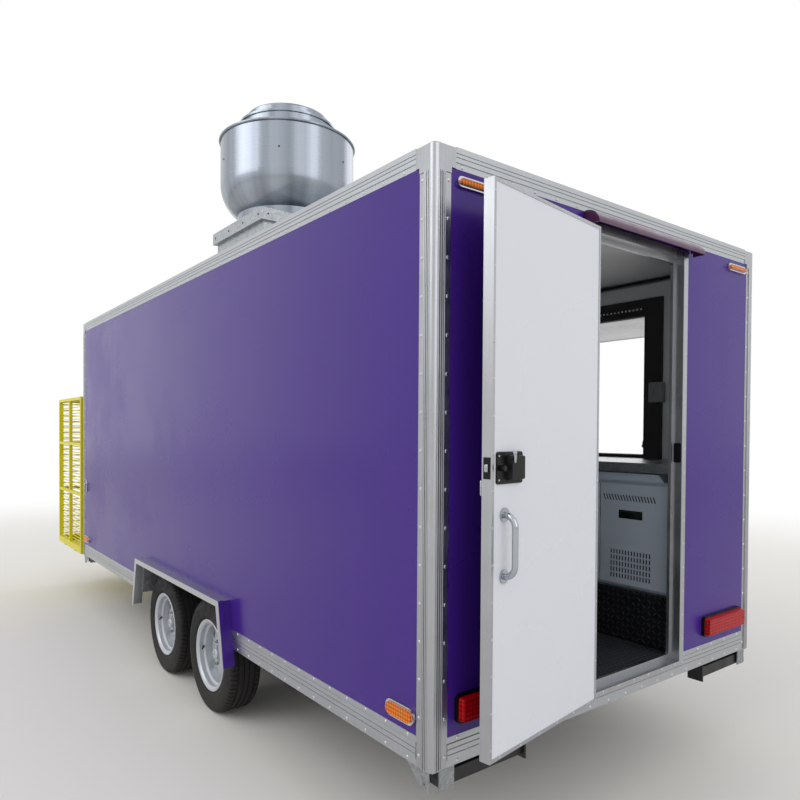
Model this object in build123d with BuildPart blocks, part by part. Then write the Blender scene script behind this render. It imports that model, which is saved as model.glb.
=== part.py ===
from build123d import *
import os
from math import cos, radians, sin

# Food trailer with tandem axles, a box body, a serving flap and a cage on the drawbar.
# Millimetres. X points forward to the coupler, Y to the left side, Z up from the ground.
# The origin lies on the ground under the middle of the whole outline, door and flap open.

os.makedirs("parts", exist_ok=True)

# Body box
BODY_LENGTH = 5090
BODY_WIDTH = 2300
BODY_HEIGHT = 2170
BODY_BOTTOM = 474
WALL = 50
SKIN_INSET = 4
POST_WING = 80
TOP_RAIL_HEIGHT = 75
BOTTOM_RAIL_HEIGHT = 105
CAP_WING = 100
CAP_DROP = 95
CAP_ROUND = 8
CORNER_RADIUS = 22
RIB_DEPTH = 3
FLOOR_BOTTOM = BODY_BOTTOM + 40
FLOOR_THICKNESS = 50

TOP_Z = BODY_BOTTOM + BODY_HEIGHT

# Sunk strips and grooves of the edge sections: start and end, counted from the corner or from the lower edge
POST_SUNK = ((27, 30), (37, 40), (54, POST_WING))
TOP_RAIL_SUNK = ((0, 22), (38, 41), (52, 55))
BOTTOM_RAIL_SUNK = ((0, 24), (41, 44), (61, 64), (81, BOTTOM_RAIL_HEIGHT))

# Entry door in the rear wall, with its lock and grab handle
DOOR_WIDTH = 740
DOOR_THICKNESS = 42
DOOR_BOTTOM = BODY_BOTTOM + 80
DOOR_TOP = TOP_Z - 156
DOOR_GAP = 5
DOOR_OPEN_ANGLE = 171
DOOR_EDGE = 12
PANEL_RECESS = 2
HINGE_OFFSET = 10
FRAME_PROUD = 12
FRAME_FLANGE = 37
STOP_STEP = 16
STOP_CORNER = 12
SILL_THICKNESS = 22
SEAL_GAP = 5
SWING_GAP = 3
SILL_STEP = 26
HANDLE_X = 668
HANDLE_STAND = 46
HANDLE_RADIUS = 11

# Serving window and flap in the right wall
WINDOW_SETBACK = 620
WINDOW_LENGTH = 2300
WINDOW_BOTTOM = BODY_BOTTOM + 1044
WINDOW_TOP = TOP_Z - 270
WINDOW_FRAME = 118
WINDOW_FRAME_DEPTH = 18
WINDOW_FLANGE = 30
WINDOW_LINER = 4
WINDOW_PROUD = 12
FLAP_GAP = 9
FLAP_OVERLAP = 44
FLAP_WIDTH = WINDOW_TOP - WINDOW_BOTTOM + FLAP_OVERLAP
FLAP_THICKNESS = 30
FLAP_EDGE = 25
FLAP_LAP = 15
FLAP_RISE = 25

# Reach of what stands outside the body box
DOOR_LEAN = radians(180 - DOOR_OPEN_ANGLE)
HANDLE_FACE = HINGE_OFFSET + DOOR_THICKNESS - PANEL_RECESS + HANDLE_STAND + HANDLE_RADIUS
REAR_REACH = FRAME_PROUD + HINGE_OFFSET + HANDLE_X * sin(DOOR_LEAN) + HANDLE_FACE * cos(DOOR_LEAN)
COUPLER_REACH = 1710
COUPLER_RADIUS = 50
TONGUE_REACH = COUPLER_REACH + COUPLER_RADIUS
ARCH_REACH = 65
FLAP_REACH = WINDOW_PROUD + FLAP_GAP + FLAP_WIDTH

REAR_X = -(BODY_LENGTH + TONGUE_REACH - REAR_REACH) / 2
FRONT_X = REAR_X + BODY_LENGTH
CENTRE_Y = (FLAP_REACH - ARCH_REACH) / 2
LEFT_Y = CENTRE_Y + BODY_WIDTH / 2
RIGHT_Y = CENTRE_Y - BODY_WIDTH / 2
HINGE_Y = CENTRE_Y + 330
WINDOW_REAR = REAR_X + WINDOW_SETBACK
FLOOR_TOP = FLOOR_BOTTOM + FLOOR_THICKNESS
RAIL_TOP = BODY_BOTTOM + BOTTOM_RAIL_HEIGHT
RAIL_UNDER = TOP_Z - TOP_RAIL_HEIGHT

# Wheels and running gear
TYRE_RADIUS = 327
TYRE_WIDTH = 195
RIM_RADIUS = 209
BEAD_RADIUS = 188
BEAD_INSET = 16
WHEEL_SETBACK = 120
WHEEL_Y = BODY_WIDTH / 2 - WHEEL_SETBACK
AXLE_MIDDLE = REAR_X + BODY_LENGTH / 2 - 93
AXLE_SPREAD = 795
ARCH_TOP = BODY_BOTTOM + 252
ARCH_TOP_LENGTH = 1500
ARCH_FOOT_LENGTH = 1640
ARCH_DROP = 85
ARCH_SHEET = 4
ARCH_TRIM = 26
ARCH_TRIM_SHEET = 3
ARCH_TRIM_FLANGE = 30
BOX_PANEL = 12
BOX_DEPTH = 265

# Chassis
CHASSIS_RAIL_Y = WHEEL_Y - 280
CHASSIS_RAIL_WIDTH = 60
CHASSIS_RAIL_HEIGHT = 100
CHASSIS_SETBACK = 100
CROSS_MEMBER_WIDTH = 50
CROSS_MEMBERS = 8

# Drawbar
BEAM_HEIGHT = 90
BEAM_WIDTH = 50
BEAM_REAR = FRONT_X - 640
COUPLER_X = FRONT_X + COUPLER_REACH
APEX_X = COUPLER_X - 180
APEX_Y = 30
JACK_X = COUPLER_X - 290
JACK_RADIUS = 32

# Cage on the drawbar
CAGE_GAP = 100
CAGE_LENGTH = 1000
CAGE_HEIGHT = 1510
CAGE_BOTTOM = BODY_BOTTOM - 15
CAGE_TUBE = 28
CAGE_BEAM = 60
SLAT_PITCH = 30
FRONT_SLAT_PITCH = 60
CAGE_SHEET = 4
SLAT_HEIGHT = 9
SLAT_DEPTH = 4

# Exhaust fan on the roof
FAN_X = REAR_X + 1961
FAN_Y = LEFT_Y - 488
CURB_SIDE = 680
CURB_TOP = TOP_Z + 230
CURB_FLANGE = 66
CURB_INSET = 22
BOWL_RADIUS = 400
BOWL_RIM = TOP_Z + 740
BOWL_SHELL = 10
RIM_ROLL = 7
NECK_RADIUS = 290
DRUM_RADIUS = 285

CHASSIS_TOP = FLOOR_BOTTOM
CHASSIS_BOTTOM = CHASSIS_TOP - CHASSIS_RAIL_HEIGHT
BEAM_TOP = CHASSIS_BOTTOM
BEAM_BOTTOM = BEAM_TOP - BEAM_HEIGHT
CAGE_REAR = FRONT_X + CAGE_GAP
CAGE_FRONT = CAGE_REAR + CAGE_LENGTH
CAGE_TOP = CAGE_BOTTOM + CAGE_HEIGHT
AXLES = (("rear", AXLE_MIDDLE - AXLE_SPREAD / 2), ("front", AXLE_MIDDLE + AXLE_SPREAD / 2))
SIDES = (("left", 1), ("right", -1))


def box_between(low, high, mode=Mode.ADD):
    """Add the box between two opposite corners to the part in progress."""
    middle = tuple((a + b) / 2 for a, b in zip(low, high))
    with Locations(middle):
        Box(*(b - a for a, b in zip(low, high)), mode=mode)


def keep(piece, label):
    """Name a finished piece and write it as its own file."""
    piece.part.label = label
    export_step(piece.part, f"parts/{label}.step")


def cut_sunk(strips, spot, size):
    """Cut strips of a depth from an edge of the sketch in progress.

    Each strip has a start and an end; spot gives its middle's place and size its two sides.
    """
    for start, end in strips:
        with Locations(spot((start + end) / 2)):
            Rectangle(*size(end - start), mode=Mode.SUBTRACT)


def arch_outline(grow, mode=Mode.ADD):
    """Draw the wheel arch trapezoid, grown outward by a margin, in the sketch in progress."""
    top = ARCH_TOP_LENGTH / 2 + grow
    foot = ARCH_FOOT_LENGTH / 2 + grow
    low = BODY_BOTTOM - ARCH_DROP
    Polygon((AXLE_MIDDLE - top, ARCH_TOP + grow), (AXLE_MIDDLE + top, ARCH_TOP + grow),
            (AXLE_MIDDLE + foot, low), (AXLE_MIDDLE - foot, low), align=None, mode=mode)


def side_plane(y):
    """Give the plane of a side wall: its own x runs forward and its own y runs up."""
    return Plane(origin=(0, y, 0), x_dir=(1, 0, 0), z_dir=(0, -1, 0))


# Floor, roof and plain walls
with BuildPart() as floor_panel:
    box_between((REAR_X + WALL, RIGHT_Y + WALL, FLOOR_BOTTOM), (FRONT_X - WALL, LEFT_Y - WALL, FLOOR_TOP))
    for _, side in SIDES:
        outer_y = CENTRE_Y + side * BODY_WIDTH / 2
        with BuildSketch(side_plane(max(outer_y, outer_y - side * BOX_DEPTH))):
            arch_outline(0)
        extrude(amount=BOX_DEPTH, mode=Mode.SUBTRACT)
keep(floor_panel, "floor_panel")

with BuildPart() as roof_panel:
    with BuildSketch(Plane.XY.offset(TOP_Z - WALL)):
        with Locations((REAR_X + BODY_LENGTH / 2, CENTRE_Y)):
            Rectangle(BODY_LENGTH - 2 * POST_WING, BODY_WIDTH - 2 * POST_WING)
            with GridLocations(BODY_LENGTH - 2 * POST_WING, BODY_WIDTH - 2 * POST_WING, 2, 2):
                Rectangle(2 * (CAP_WING - POST_WING), 2 * (CAP_WING - POST_WING), mode=Mode.SUBTRACT)
    extrude(amount=WALL - SKIN_INSET)
keep(roof_panel, "roof_panel")

with BuildPart() as wall_front:
    box_between((FRONT_X - WALL, RIGHT_Y + POST_WING, RAIL_TOP),
                (FRONT_X - SKIN_INSET, LEFT_Y - POST_WING, RAIL_UNDER))
keep(wall_front, "wall_front")

for name, side in SIDES:
    outer_y = CENTRE_Y + side * (BODY_WIDTH / 2 - SKIN_INSET)
    inner_y = CENTRE_Y + side * (BODY_WIDTH / 2 - WALL)
    with BuildPart() as wall:
        box_between((REAR_X + POST_WING, min(outer_y, inner_y), RAIL_TOP),
                    (FRONT_X - POST_WING, max(outer_y, inner_y), RAIL_UNDER))
        with BuildSketch(side_plane(CENTRE_Y + side * BODY_WIDTH / 2)):
            arch_outline(0)
        extrude(amount=2 * WALL, both=True, mode=Mode.SUBTRACT)
        if side < 0:
            box_between((WINDOW_REAR, RIGHT_Y - WALL, WINDOW_BOTTOM),
                        (WINDOW_REAR + WINDOW_LENGTH, RIGHT_Y + 2 * WALL, WINDOW_TOP), Mode.SUBTRACT)
    keep(wall, f"wall_{name}")

# Rear wall with the doorway
OPENING_LOCK_Y = HINGE_Y - DOOR_WIDTH - DOOR_GAP - SWING_GAP
OPENING_HINGE_Y = HINGE_Y + DOOR_GAP
OPENING_BOTTOM = DOOR_BOTTOM - DOOR_GAP
OPENING_TOP = DOOR_TOP + DOOR_GAP
SILL_BOTTOM = OPENING_BOTTOM - SILL_THICKNESS
FRAME_INSET = 18
with BuildPart() as wall_rear:
    box_between((REAR_X + SKIN_INSET, RIGHT_Y + POST_WING, RAIL_TOP),
                (REAR_X + WALL, LEFT_Y - POST_WING, RAIL_UNDER))
    box_between((REAR_X - WALL, OPENING_LOCK_Y - FRAME_INSET, BODY_BOTTOM),
                (REAR_X + 2 * WALL, OPENING_HINGE_Y + FRAME_INSET, OPENING_TOP + FRAME_INSET), Mode.SUBTRACT)
keep(wall_rear, "wall_rear")

# Door frame: a flange on the outer skin, a liner through the wall and a stop for the leaf
with BuildPart() as door_frame:
    box_between((REAR_X - FRAME_PROUD, OPENING_LOCK_Y - FRAME_FLANGE, SILL_BOTTOM),
                (REAR_X + SKIN_INSET, OPENING_HINGE_Y + FRAME_FLANGE, OPENING_TOP + FRAME_FLANGE))
    box_between((REAR_X + SKIN_INSET, OPENING_LOCK_Y - FRAME_INSET, SILL_BOTTOM),
                (REAR_X + WALL, OPENING_HINGE_Y + FRAME_INSET, OPENING_TOP + FRAME_INSET))
    box_between((REAR_X - WALL, OPENING_LOCK_Y, OPENING_BOTTOM),
                (REAR_X - FRAME_PROUD + DOOR_THICKNESS + SEAL_GAP, OPENING_HINGE_Y, OPENING_TOP), Mode.SUBTRACT)
    stop_low = OPENING_BOTTOM + SILL_STEP
    stop_high = OPENING_TOP - STOP_STEP
    stop_width = OPENING_HINGE_Y - OPENING_LOCK_Y - 2 * STOP_STEP
    with BuildSketch(Plane.YZ.offset(REAR_X)):
        with Locations(((OPENING_LOCK_Y + OPENING_HINGE_Y) / 2, (stop_low + stop_high) / 2)):
            RectangleRounded(stop_width, stop_high - stop_low, STOP_CORNER)
    extrude(amount=2 * WALL, mode=Mode.SUBTRACT)
keep(door_frame, "door_frame")

# Aluminium sections along the edges of the body, ribbed between their rivet strips, with cast caps on top
def corner_outline(end_x, along, edge_y, side, wing):
    """Draw the square of a corner with its outer edge rounded, in the sketch in progress."""
    half = CORNER_RADIUS / 2
    with Locations((end_x + along * wing / 2, edge_y - side * wing / 2)):
        Rectangle(wing, wing)
    with Locations((end_x + along * half, edge_y - side * half)):
        Rectangle(CORNER_RADIUS, CORNER_RADIUS, mode=Mode.SUBTRACT)
    with Locations((end_x + along * CORNER_RADIUS, edge_y - side * CORNER_RADIUS)):
        Circle(CORNER_RADIUS)


CORNERS = [(end_x, along, CENTRE_Y + side * BODY_WIDTH / 2, side)
           for end_x, along in ((REAR_X, 1), (FRONT_X, -1)) for _, side in SIDES]
with BuildPart() as corner_posts:
    with BuildSketch(Plane.XY.offset(BODY_BOTTOM)):
        for end_x, along, edge_y, side in CORNERS:
            corner_outline(end_x, along, edge_y, side, POST_WING)
            cut_sunk(POST_SUNK, lambda middle: (end_x + along * middle, edge_y - side * RIB_DEPTH / 2),
                     lambda width: (width, RIB_DEPTH))
            cut_sunk(POST_SUNK, lambda middle: (end_x + along * RIB_DEPTH / 2, edge_y - side * middle),
                     lambda width: (RIB_DEPTH, width))
    extrude(amount=BODY_HEIGHT - CAP_DROP)
    for end_x, along, edge_y, side in CORNERS:
        with BuildSketch(Plane.XY.offset(TOP_Z - CAP_DROP)):
            corner_outline(end_x, along, edge_y, side, POST_WING)
        extrude(amount=CAP_DROP - TOP_RAIL_HEIGHT)
        with BuildSketch(Plane.XY.offset(RAIL_UNDER)):
            corner_outline(end_x, along, edge_y, side, CAP_WING)
        extrude(amount=TOP_RAIL_HEIGHT)
    fillet(corner_posts.faces().filter_by_position(Axis.Z, TOP_Z - 1, TOP_Z + 1).edges(), CAP_ROUND)
    box_between((REAR_X + WALL, RIGHT_Y + WALL, BODY_BOTTOM - WALL),
                (FRONT_X - WALL, LEFT_Y - WALL, TOP_Z - WALL), Mode.SUBTRACT)
keep(corner_posts, "corner_posts")

with BuildPart() as body_rails:
    with BuildSketch(Plane.YZ.offset(REAR_X + CAP_WING)):
        for _, side in SIDES:
            edge_y = CENTRE_Y + side * BODY_WIDTH / 2
            with Locations((edge_y - side * POST_WING / 2, TOP_Z - TOP_RAIL_HEIGHT / 2)):
                Rectangle(POST_WING, TOP_RAIL_HEIGHT)
            inner = POST_WING - WALL
            with Locations((edge_y - side * (WALL + inner / 2), RAIL_UNDER + (TOP_RAIL_HEIGHT - WALL) / 2)):
                Rectangle(inner, TOP_RAIL_HEIGHT - WALL, mode=Mode.SUBTRACT)
            cut_sunk(TOP_RAIL_SUNK, lambda middle: (edge_y - side * RIB_DEPTH / 2, RAIL_UNDER + middle),
                     lambda width: (RIB_DEPTH, width))
    extrude(amount=BODY_LENGTH - 2 * CAP_WING)
    with BuildSketch(Plane.XZ.offset(-(RIGHT_Y + CAP_WING))):
        for end_x, along in ((REAR_X, 1), (FRONT_X, -1)):
            with Locations((end_x + along * POST_WING / 2, TOP_Z - TOP_RAIL_HEIGHT / 2)):
                Rectangle(POST_WING, TOP_RAIL_HEIGHT)
            inner = POST_WING - WALL
            with Locations((end_x + along * (WALL + inner / 2), RAIL_UNDER + (TOP_RAIL_HEIGHT - WALL) / 2)):
                Rectangle(inner, TOP_RAIL_HEIGHT - WALL, mode=Mode.SUBTRACT)
            cut_sunk(TOP_RAIL_SUNK, lambda middle: (end_x + along * RIB_DEPTH / 2, RAIL_UNDER + middle),
                     lambda width: (RIB_DEPTH, width))
    extrude(amount=-(BODY_WIDTH - 2 * CAP_WING))
    with BuildSketch(Plane.YZ.offset(REAR_X + POST_WING)):
        for _, side in SIDES:
            edge_y = CENTRE_Y + side * BODY_WIDTH / 2
            with Locations((edge_y - side * WALL / 2, BODY_BOTTOM + BOTTOM_RAIL_HEIGHT / 2)):
                Rectangle(WALL, BOTTOM_RAIL_HEIGHT)
            cut_sunk(BOTTOM_RAIL_SUNK, lambda middle: (edge_y - side * RIB_DEPTH / 2, BODY_BOTTOM + middle),
                     lambda width: (RIB_DEPTH, width))
    extrude(amount=BODY_LENGTH - 2 * POST_WING)
    with BuildSketch(Plane.XZ.offset(-(RIGHT_Y + POST_WING))):
        for end_x, along in ((REAR_X, 1), (FRONT_X, -1)):
            with Locations((end_x + along * WALL / 2, BODY_BOTTOM + BOTTOM_RAIL_HEIGHT / 2)):
                Rectangle(WALL, BOTTOM_RAIL_HEIGHT)
            cut_sunk(BOTTOM_RAIL_SUNK, lambda middle: (end_x + along * RIB_DEPTH / 2, BODY_BOTTOM + middle),
                     lambda width: (RIB_DEPTH, width))
    extrude(amount=-(BODY_WIDTH - 2 * POST_WING))
    with BuildSketch(side_plane(CENTRE_Y)):
        arch_outline(ARCH_SHEET)
    extrude(amount=BODY_WIDTH, both=True, mode=Mode.SUBTRACT)
    box_between((REAR_X - WALL, OPENING_LOCK_Y - FRAME_FLANGE, SILL_BOTTOM),
                (REAR_X + 2 * WALL, OPENING_HINGE_Y + FRAME_FLANGE, RAIL_TOP + WALL), Mode.SUBTRACT)
keep(body_rails, "body_rails")

# Curved rain hood above the door
HOOD_LEFT = HINGE_Y + 5
HOOD_RIGHT = CENTRE_Y - 500
HOOD_DEPTH = 75
HOOD_DROP = 58
HOOD_SHEET = 6


def hood_point(depth, rise, angle):
    """Give a point of the hood's bow, an angle up from its front lip."""
    return (REAR_X - depth * cos(radians(angle)), RAIL_UNDER - HOOD_DROP + rise * sin(radians(angle)))


with BuildPart() as rain_hood:
    with BuildSketch(Plane.XZ.offset(-HOOD_RIGHT)):
        with BuildLine():
            back = Line((REAR_X, RAIL_UNDER - HOOD_SHEET), (REAR_X, RAIL_UNDER))
            outer = ThreePointArc(back @ 1, hood_point(HOOD_DEPTH, HOOD_DROP, 45),
                                  hood_point(HOOD_DEPTH, HOOD_DROP, 0))
            lip = Line(outer @ 1, hood_point(HOOD_DEPTH - HOOD_SHEET, HOOD_DROP, 0))
            ThreePointArc(lip @ 1, hood_point(HOOD_DEPTH - HOOD_SHEET, HOOD_DROP - HOOD_SHEET, 45), back @ 0)
        make_face()
    extrude(amount=-(HOOD_LEFT - HOOD_RIGHT))
    for end_y in (HOOD_RIGHT, HOOD_LEFT - HOOD_SHEET):
        with BuildSketch(Plane.XZ.offset(-end_y)):
            with BuildLine():
                bow = ThreePointArc((REAR_X, RAIL_UNDER), hood_point(HOOD_DEPTH, HOOD_DROP, 45),
                                    hood_point(HOOD_DEPTH, HOOD_DROP, 0))
                foot = Line(bow @ 1, (REAR_X, RAIL_UNDER - HOOD_DROP))
                Line(foot @ 1, bow @ 0)
            make_face()
        extrude(amount=-HOOD_SHEET)
    box_between((REAR_X - FRAME_PROUD, HOOD_RIGHT, RAIL_UNDER - HOOD_DROP),
                (REAR_X, HOOD_LEFT, OPENING_TOP + FRAME_FLANGE), Mode.SUBTRACT)
keep(rain_hood, "rain_hood")


# Door leaf, in the plane of the open door: x runs from the pins to the lock edge, y to the inner face
LEAF_ANGLE = -90 - DOOR_OPEN_ANGLE
DOOR_PLANE = Plane(origin=(REAR_X - FRAME_PROUD - HINGE_OFFSET, HINGE_Y, 0),
                   x_dir=(cos(radians(LEAF_ANGLE)), sin(radians(LEAF_ANGLE)), 0), z_dir=(0, 0, 1))
LEAF_OUTER = HINGE_OFFSET
LEAF_INNER = HINGE_OFFSET + DOOR_THICKNESS
LEAF_START = 2
HINGE_LEVELS = (DOOR_BOTTOM + 200, (DOOR_BOTTOM + DOOR_TOP) / 2, DOOR_TOP - 200)
HINGE_PIN = 5
KNUCKLE_RADIUS = 8
KNUCKLE = 50
KNUCKLE_GAP = 1
STRAP = 3
STRAP_WIDTH = 38
RUNNING_GAP = 0.3
with BuildPart(DOOR_PLANE) as door_edge:
    box_between((LEAF_START, LEAF_OUTER, DOOR_BOTTOM), (DOOR_WIDTH, LEAF_INNER, DOOR_TOP))
    box_between((LEAF_START + DOOR_EDGE, LEAF_OUTER - WALL, DOOR_BOTTOM + DOOR_EDGE),
                (DOOR_WIDTH - DOOR_EDGE, LEAF_INNER + WALL, DOOR_TOP - DOOR_EDGE), Mode.SUBTRACT)
    for level in HINGE_LEVELS:
        with Locations((0, 0, level)):
            Cylinder(KNUCKLE_RADIUS, KNUCKLE)
        low = level - KNUCKLE / 2
        high = level + KNUCKLE / 2
        box_between((0, HINGE_PIN + RUNNING_GAP, low), (KNUCKLE_RADIUS, LEAF_OUTER, high))
        box_between((LEAF_START, LEAF_OUTER - STRAP, low), (STRAP_WIDTH, LEAF_OUTER, high))
        with Locations((0, 0, level)):
            Cylinder(HINGE_PIN + RUNNING_GAP, 2 * KNUCKLE, mode=Mode.SUBTRACT)
keep(door_edge, "door_edge")

with BuildPart() as door_hinges:
    pin_x = REAR_X - FRAME_PROUD - HINGE_OFFSET
    flange_x = REAR_X - FRAME_PROUD
    for level in HINGE_LEVELS:
        with Locations((pin_x, HINGE_Y, level)):
            Cylinder(HINGE_PIN, 3 * KNUCKLE)
        for end in (1, -1):
            middle = level + end * KNUCKLE
            low = middle - (KNUCKLE - 2 * KNUCKLE_GAP) / 2
            high = middle + (KNUCKLE - 2 * KNUCKLE_GAP) / 2
            with Locations((pin_x, HINGE_Y, middle)):
                Cylinder(KNUCKLE_RADIUS, high - low)
            box_between((pin_x, HINGE_Y + STRAP, low), (flange_x, HINGE_Y + KNUCKLE_RADIUS, high))
            box_between((flange_x - STRAP, HINGE_Y + DOOR_GAP, low),
                        (flange_x, HINGE_Y + STRAP_WIDTH - STRAP, high))
keep(door_hinges, "door_hinges")

with BuildPart(DOOR_PLANE) as door_panel:
    box_between((LEAF_START + DOOR_EDGE, LEAF_OUTER + PANEL_RECESS, DOOR_BOTTOM + DOOR_EDGE),
                (DOOR_WIDTH - DOOR_EDGE, LEAF_INNER - PANEL_RECESS, DOOR_TOP - DOOR_EDGE))
keep(door_panel, "door_panel")

# Lock case and grab handle on the inner face of the door
LOCK_X = DOOR_WIDTH - 98
LOCK_Z = BODY_BOTTOM + 1060
LOCK_WIDTH = 152
LOCK_HEIGHT = 108
LOCK_BASE = 6
LOCK_DEPTH = 26
LOCK_CORNER = 10
PADDLE_WIDTH = 86
PADDLE_TAPER = 14
STRIKE_WIDTH = 26
STRIKE_HEIGHT = 72
STRIKE_PLATE = 3
HANDLE_LOW = BODY_BOTTOM + 694
HANDLE_HIGH = BODY_BOTTOM + 902
HANDLE_BEND = 40
ROSETTE_RADIUS = 24
ROSETTE = 6
PANEL_FACE = LEAF_INNER - PANEL_RECESS
face_plane = Plane(origin=(0, PANEL_FACE, 0), x_dir=(-1, 0, 0), z_dir=(0, 1, 0))
with BuildPart() as lock_shape:
    with BuildSketch(face_plane):
        with Locations((-LOCK_X, LOCK_Z)):
            RectangleRounded(LOCK_WIDTH, LOCK_HEIGHT, LOCK_CORNER)
    extrude(amount=LOCK_BASE)
    with BuildSketch(face_plane.offset(LOCK_BASE)):
        with Locations((-LOCK_X + (LOCK_WIDTH - PADDLE_WIDTH) / 2 - LOCK_CORNER, LOCK_Z)):
            RectangleRounded(PADDLE_WIDTH, LOCK_HEIGHT - 2 * LOCK_CORNER, LOCK_CORNER)
    extrude(amount=LOCK_DEPTH - LOCK_BASE, taper=PADDLE_TAPER)
    with BuildSketch(face_plane.offset(LOCK_BASE)):
        with Locations((-LOCK_X - LOCK_WIDTH / 2 + 2 * LOCK_CORNER, LOCK_Z)):
            Circle(LOCK_CORNER)
    extrude(amount=LOCK_DEPTH - LOCK_BASE)
    strike_y = LEAF_OUTER + (DOOR_THICKNESS - STRIKE_WIDTH) / 2
    box_between((DOOR_WIDTH, strike_y, LOCK_Z - STRIKE_HEIGHT / 2),
                (DOOR_WIDTH + STRIKE_PLATE, strike_y + STRIKE_WIDTH, LOCK_Z + STRIKE_HEIGHT / 2))
with BuildPart() as door_lock:
    add(lock_shape.part.moved(DOOR_PLANE.location))
keep(door_lock, "door_lock")

with BuildPart() as handle_shape:
    with BuildLine() as handle_line:
        FilletPolyline((HANDLE_X, PANEL_FACE, HANDLE_LOW), (HANDLE_X, PANEL_FACE + HANDLE_STAND, HANDLE_LOW),
                       (HANDLE_X, PANEL_FACE + HANDLE_STAND, HANDLE_HIGH), (HANDLE_X, PANEL_FACE, HANDLE_HIGH),
                       radius=HANDLE_BEND)
    with BuildSketch(Plane(origin=handle_line.line @ 0, z_dir=handle_line.line % 0)):
        Circle(HANDLE_RADIUS)
    sweep(path=handle_line.line)
    for level in (HANDLE_LOW, HANDLE_HIGH):
        with Locations(Location((HANDLE_X, PANEL_FACE + ROSETTE / 2, level), (90, 0, 0))):
            Cylinder(ROSETTE_RADIUS, ROSETTE)
with BuildPart() as door_handle:
    add(handle_shape.part.moved(DOOR_PLANE.location))
keep(door_handle, "door_handle")

# Serving flap, in the plane of the raised flap: x runs outward from the pins, y along the body, z up
FRAME_FACE_Y = RIGHT_Y - WINDOW_PROUD
FLAP_PIN_Y = FRAME_FACE_Y - FLAP_GAP
FLAP_PIN_Z = WINDOW_TOP + FLAP_RISE
WINDOW_FRONT = WINDOW_REAR + WINDOW_LENGTH
FLAP_REAR = WINDOW_REAR - FLAP_LAP
FLAP_FRONT = WINDOW_FRONT + FLAP_LAP
FLAP_INNER_Y = FLAP_PIN_Y - FLAP_GAP
FLAP_OUTER_Y = FLAP_PIN_Y - FLAP_WIDTH
FLAP_HINGE_PIN = 3
FLAP_KNUCKLE = 6
FLAP_KNUCKLES = 9
FLAP_WEB = 3
HINGE_PLATE = 2
HINGE_PLATE_LOW = 15
HINGE_PLATE_HIGH = 5
knuckle_pitch = (FLAP_FRONT - FLAP_REAR) / FLAP_KNUCKLES


def flap_knuckles(first, wall_y, web_low):
    """Add every other knuckle of the flap's hinge, with a web from each to the wall behind it."""
    for number in range(first, FLAP_KNUCKLES, 2):
        start = FLAP_REAR + number * knuckle_pitch + KNUCKLE_GAP / 2
        length = knuckle_pitch - KNUCKLE_GAP
        with Locations(Location((start + length / 2, FLAP_PIN_Y, FLAP_PIN_Z), (0, 90, 0))):
            Cylinder(FLAP_KNUCKLE, length)
        box_between((start, min(FLAP_PIN_Y, wall_y), FLAP_PIN_Z + web_low),
                    (start + length, max(FLAP_PIN_Y, wall_y), FLAP_PIN_Z + FLAP_WEB))


with BuildPart() as flap_panel:
    box_between((FLAP_REAR + FLAP_EDGE, FLAP_OUTER_Y + FLAP_EDGE, FLAP_PIN_Z + PANEL_RECESS),
                (FLAP_FRONT - FLAP_EDGE, FLAP_INNER_Y - FLAP_EDGE, FLAP_PIN_Z + FLAP_THICKNESS - PANEL_RECESS))
keep(flap_panel, "flap_panel")

with BuildPart() as flap_edge:
    box_between((FLAP_REAR, FLAP_OUTER_Y, FLAP_PIN_Z), (FLAP_FRONT, FLAP_INNER_Y, FLAP_PIN_Z + FLAP_THICKNESS))
    box_between((FLAP_REAR + FLAP_EDGE, FLAP_OUTER_Y + FLAP_EDGE, FLAP_PIN_Z - WALL),
                (FLAP_FRONT - FLAP_EDGE, FLAP_INNER_Y - FLAP_EDGE, FLAP_PIN_Z + WALL), Mode.SUBTRACT)
    flap_knuckles(1, FLAP_INNER_Y, 0)
    with BuildSketch(Plane.YZ.offset(FLAP_REAR)):
        with Locations((FLAP_PIN_Y, FLAP_PIN_Z)):
            Circle(FLAP_HINGE_PIN + RUNNING_GAP)
    extrude(amount=FLAP_FRONT - FLAP_REAR, mode=Mode.SUBTRACT)
keep(flap_edge, "flap_edge")

# Gas struts of the flap: a cylinder on the window's side and a rod to the flap, drawn at their real tilt
STRUT_INSET = 25
STRUT_PIVOT_Z = WINDOW_BOTTOM + 56
STRUT_PIVOT_Y = RIGHT_Y + WALL / 2
STRUT_EYE_Y = FLAP_PIN_Y - 300
STRUT_EYE_Z = FLAP_PIN_Z - (STRUT_PIVOT_Y - FLAP_PIN_Y)
STRUT_RADIUS = 11
ROD_RADIUS = 4
CYLINDER_LENGTH = 470
EYE_RADIUS = 11
EYE_WIDTH = 10
STUD_RADIUS = 4
LUG_PLATE = 4
LUG_HALF = 14
strut_stations = (WINDOW_REAR + STRUT_INSET, WINDOW_FRONT - STRUT_INSET)
strut_axis = Vector(0, STRUT_EYE_Y - STRUT_PIVOT_Y, STRUT_EYE_Z - STRUT_PIVOT_Z)
strut_length = strut_axis.length
STROKE = 330
ROD_ENGAGED = 15
rod_start = CYLINDER_LENGTH - ROD_ENGAGED


def strut_plane(x, along):
    """Give the plane across a strut, a distance up from its lower pivot."""
    start = Vector(x, STRUT_PIVOT_Y, STRUT_PIVOT_Z) + strut_axis.normalized() * along
    return Plane(origin=start, x_dir=(1, 0, 0), z_dir=strut_axis)


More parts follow.
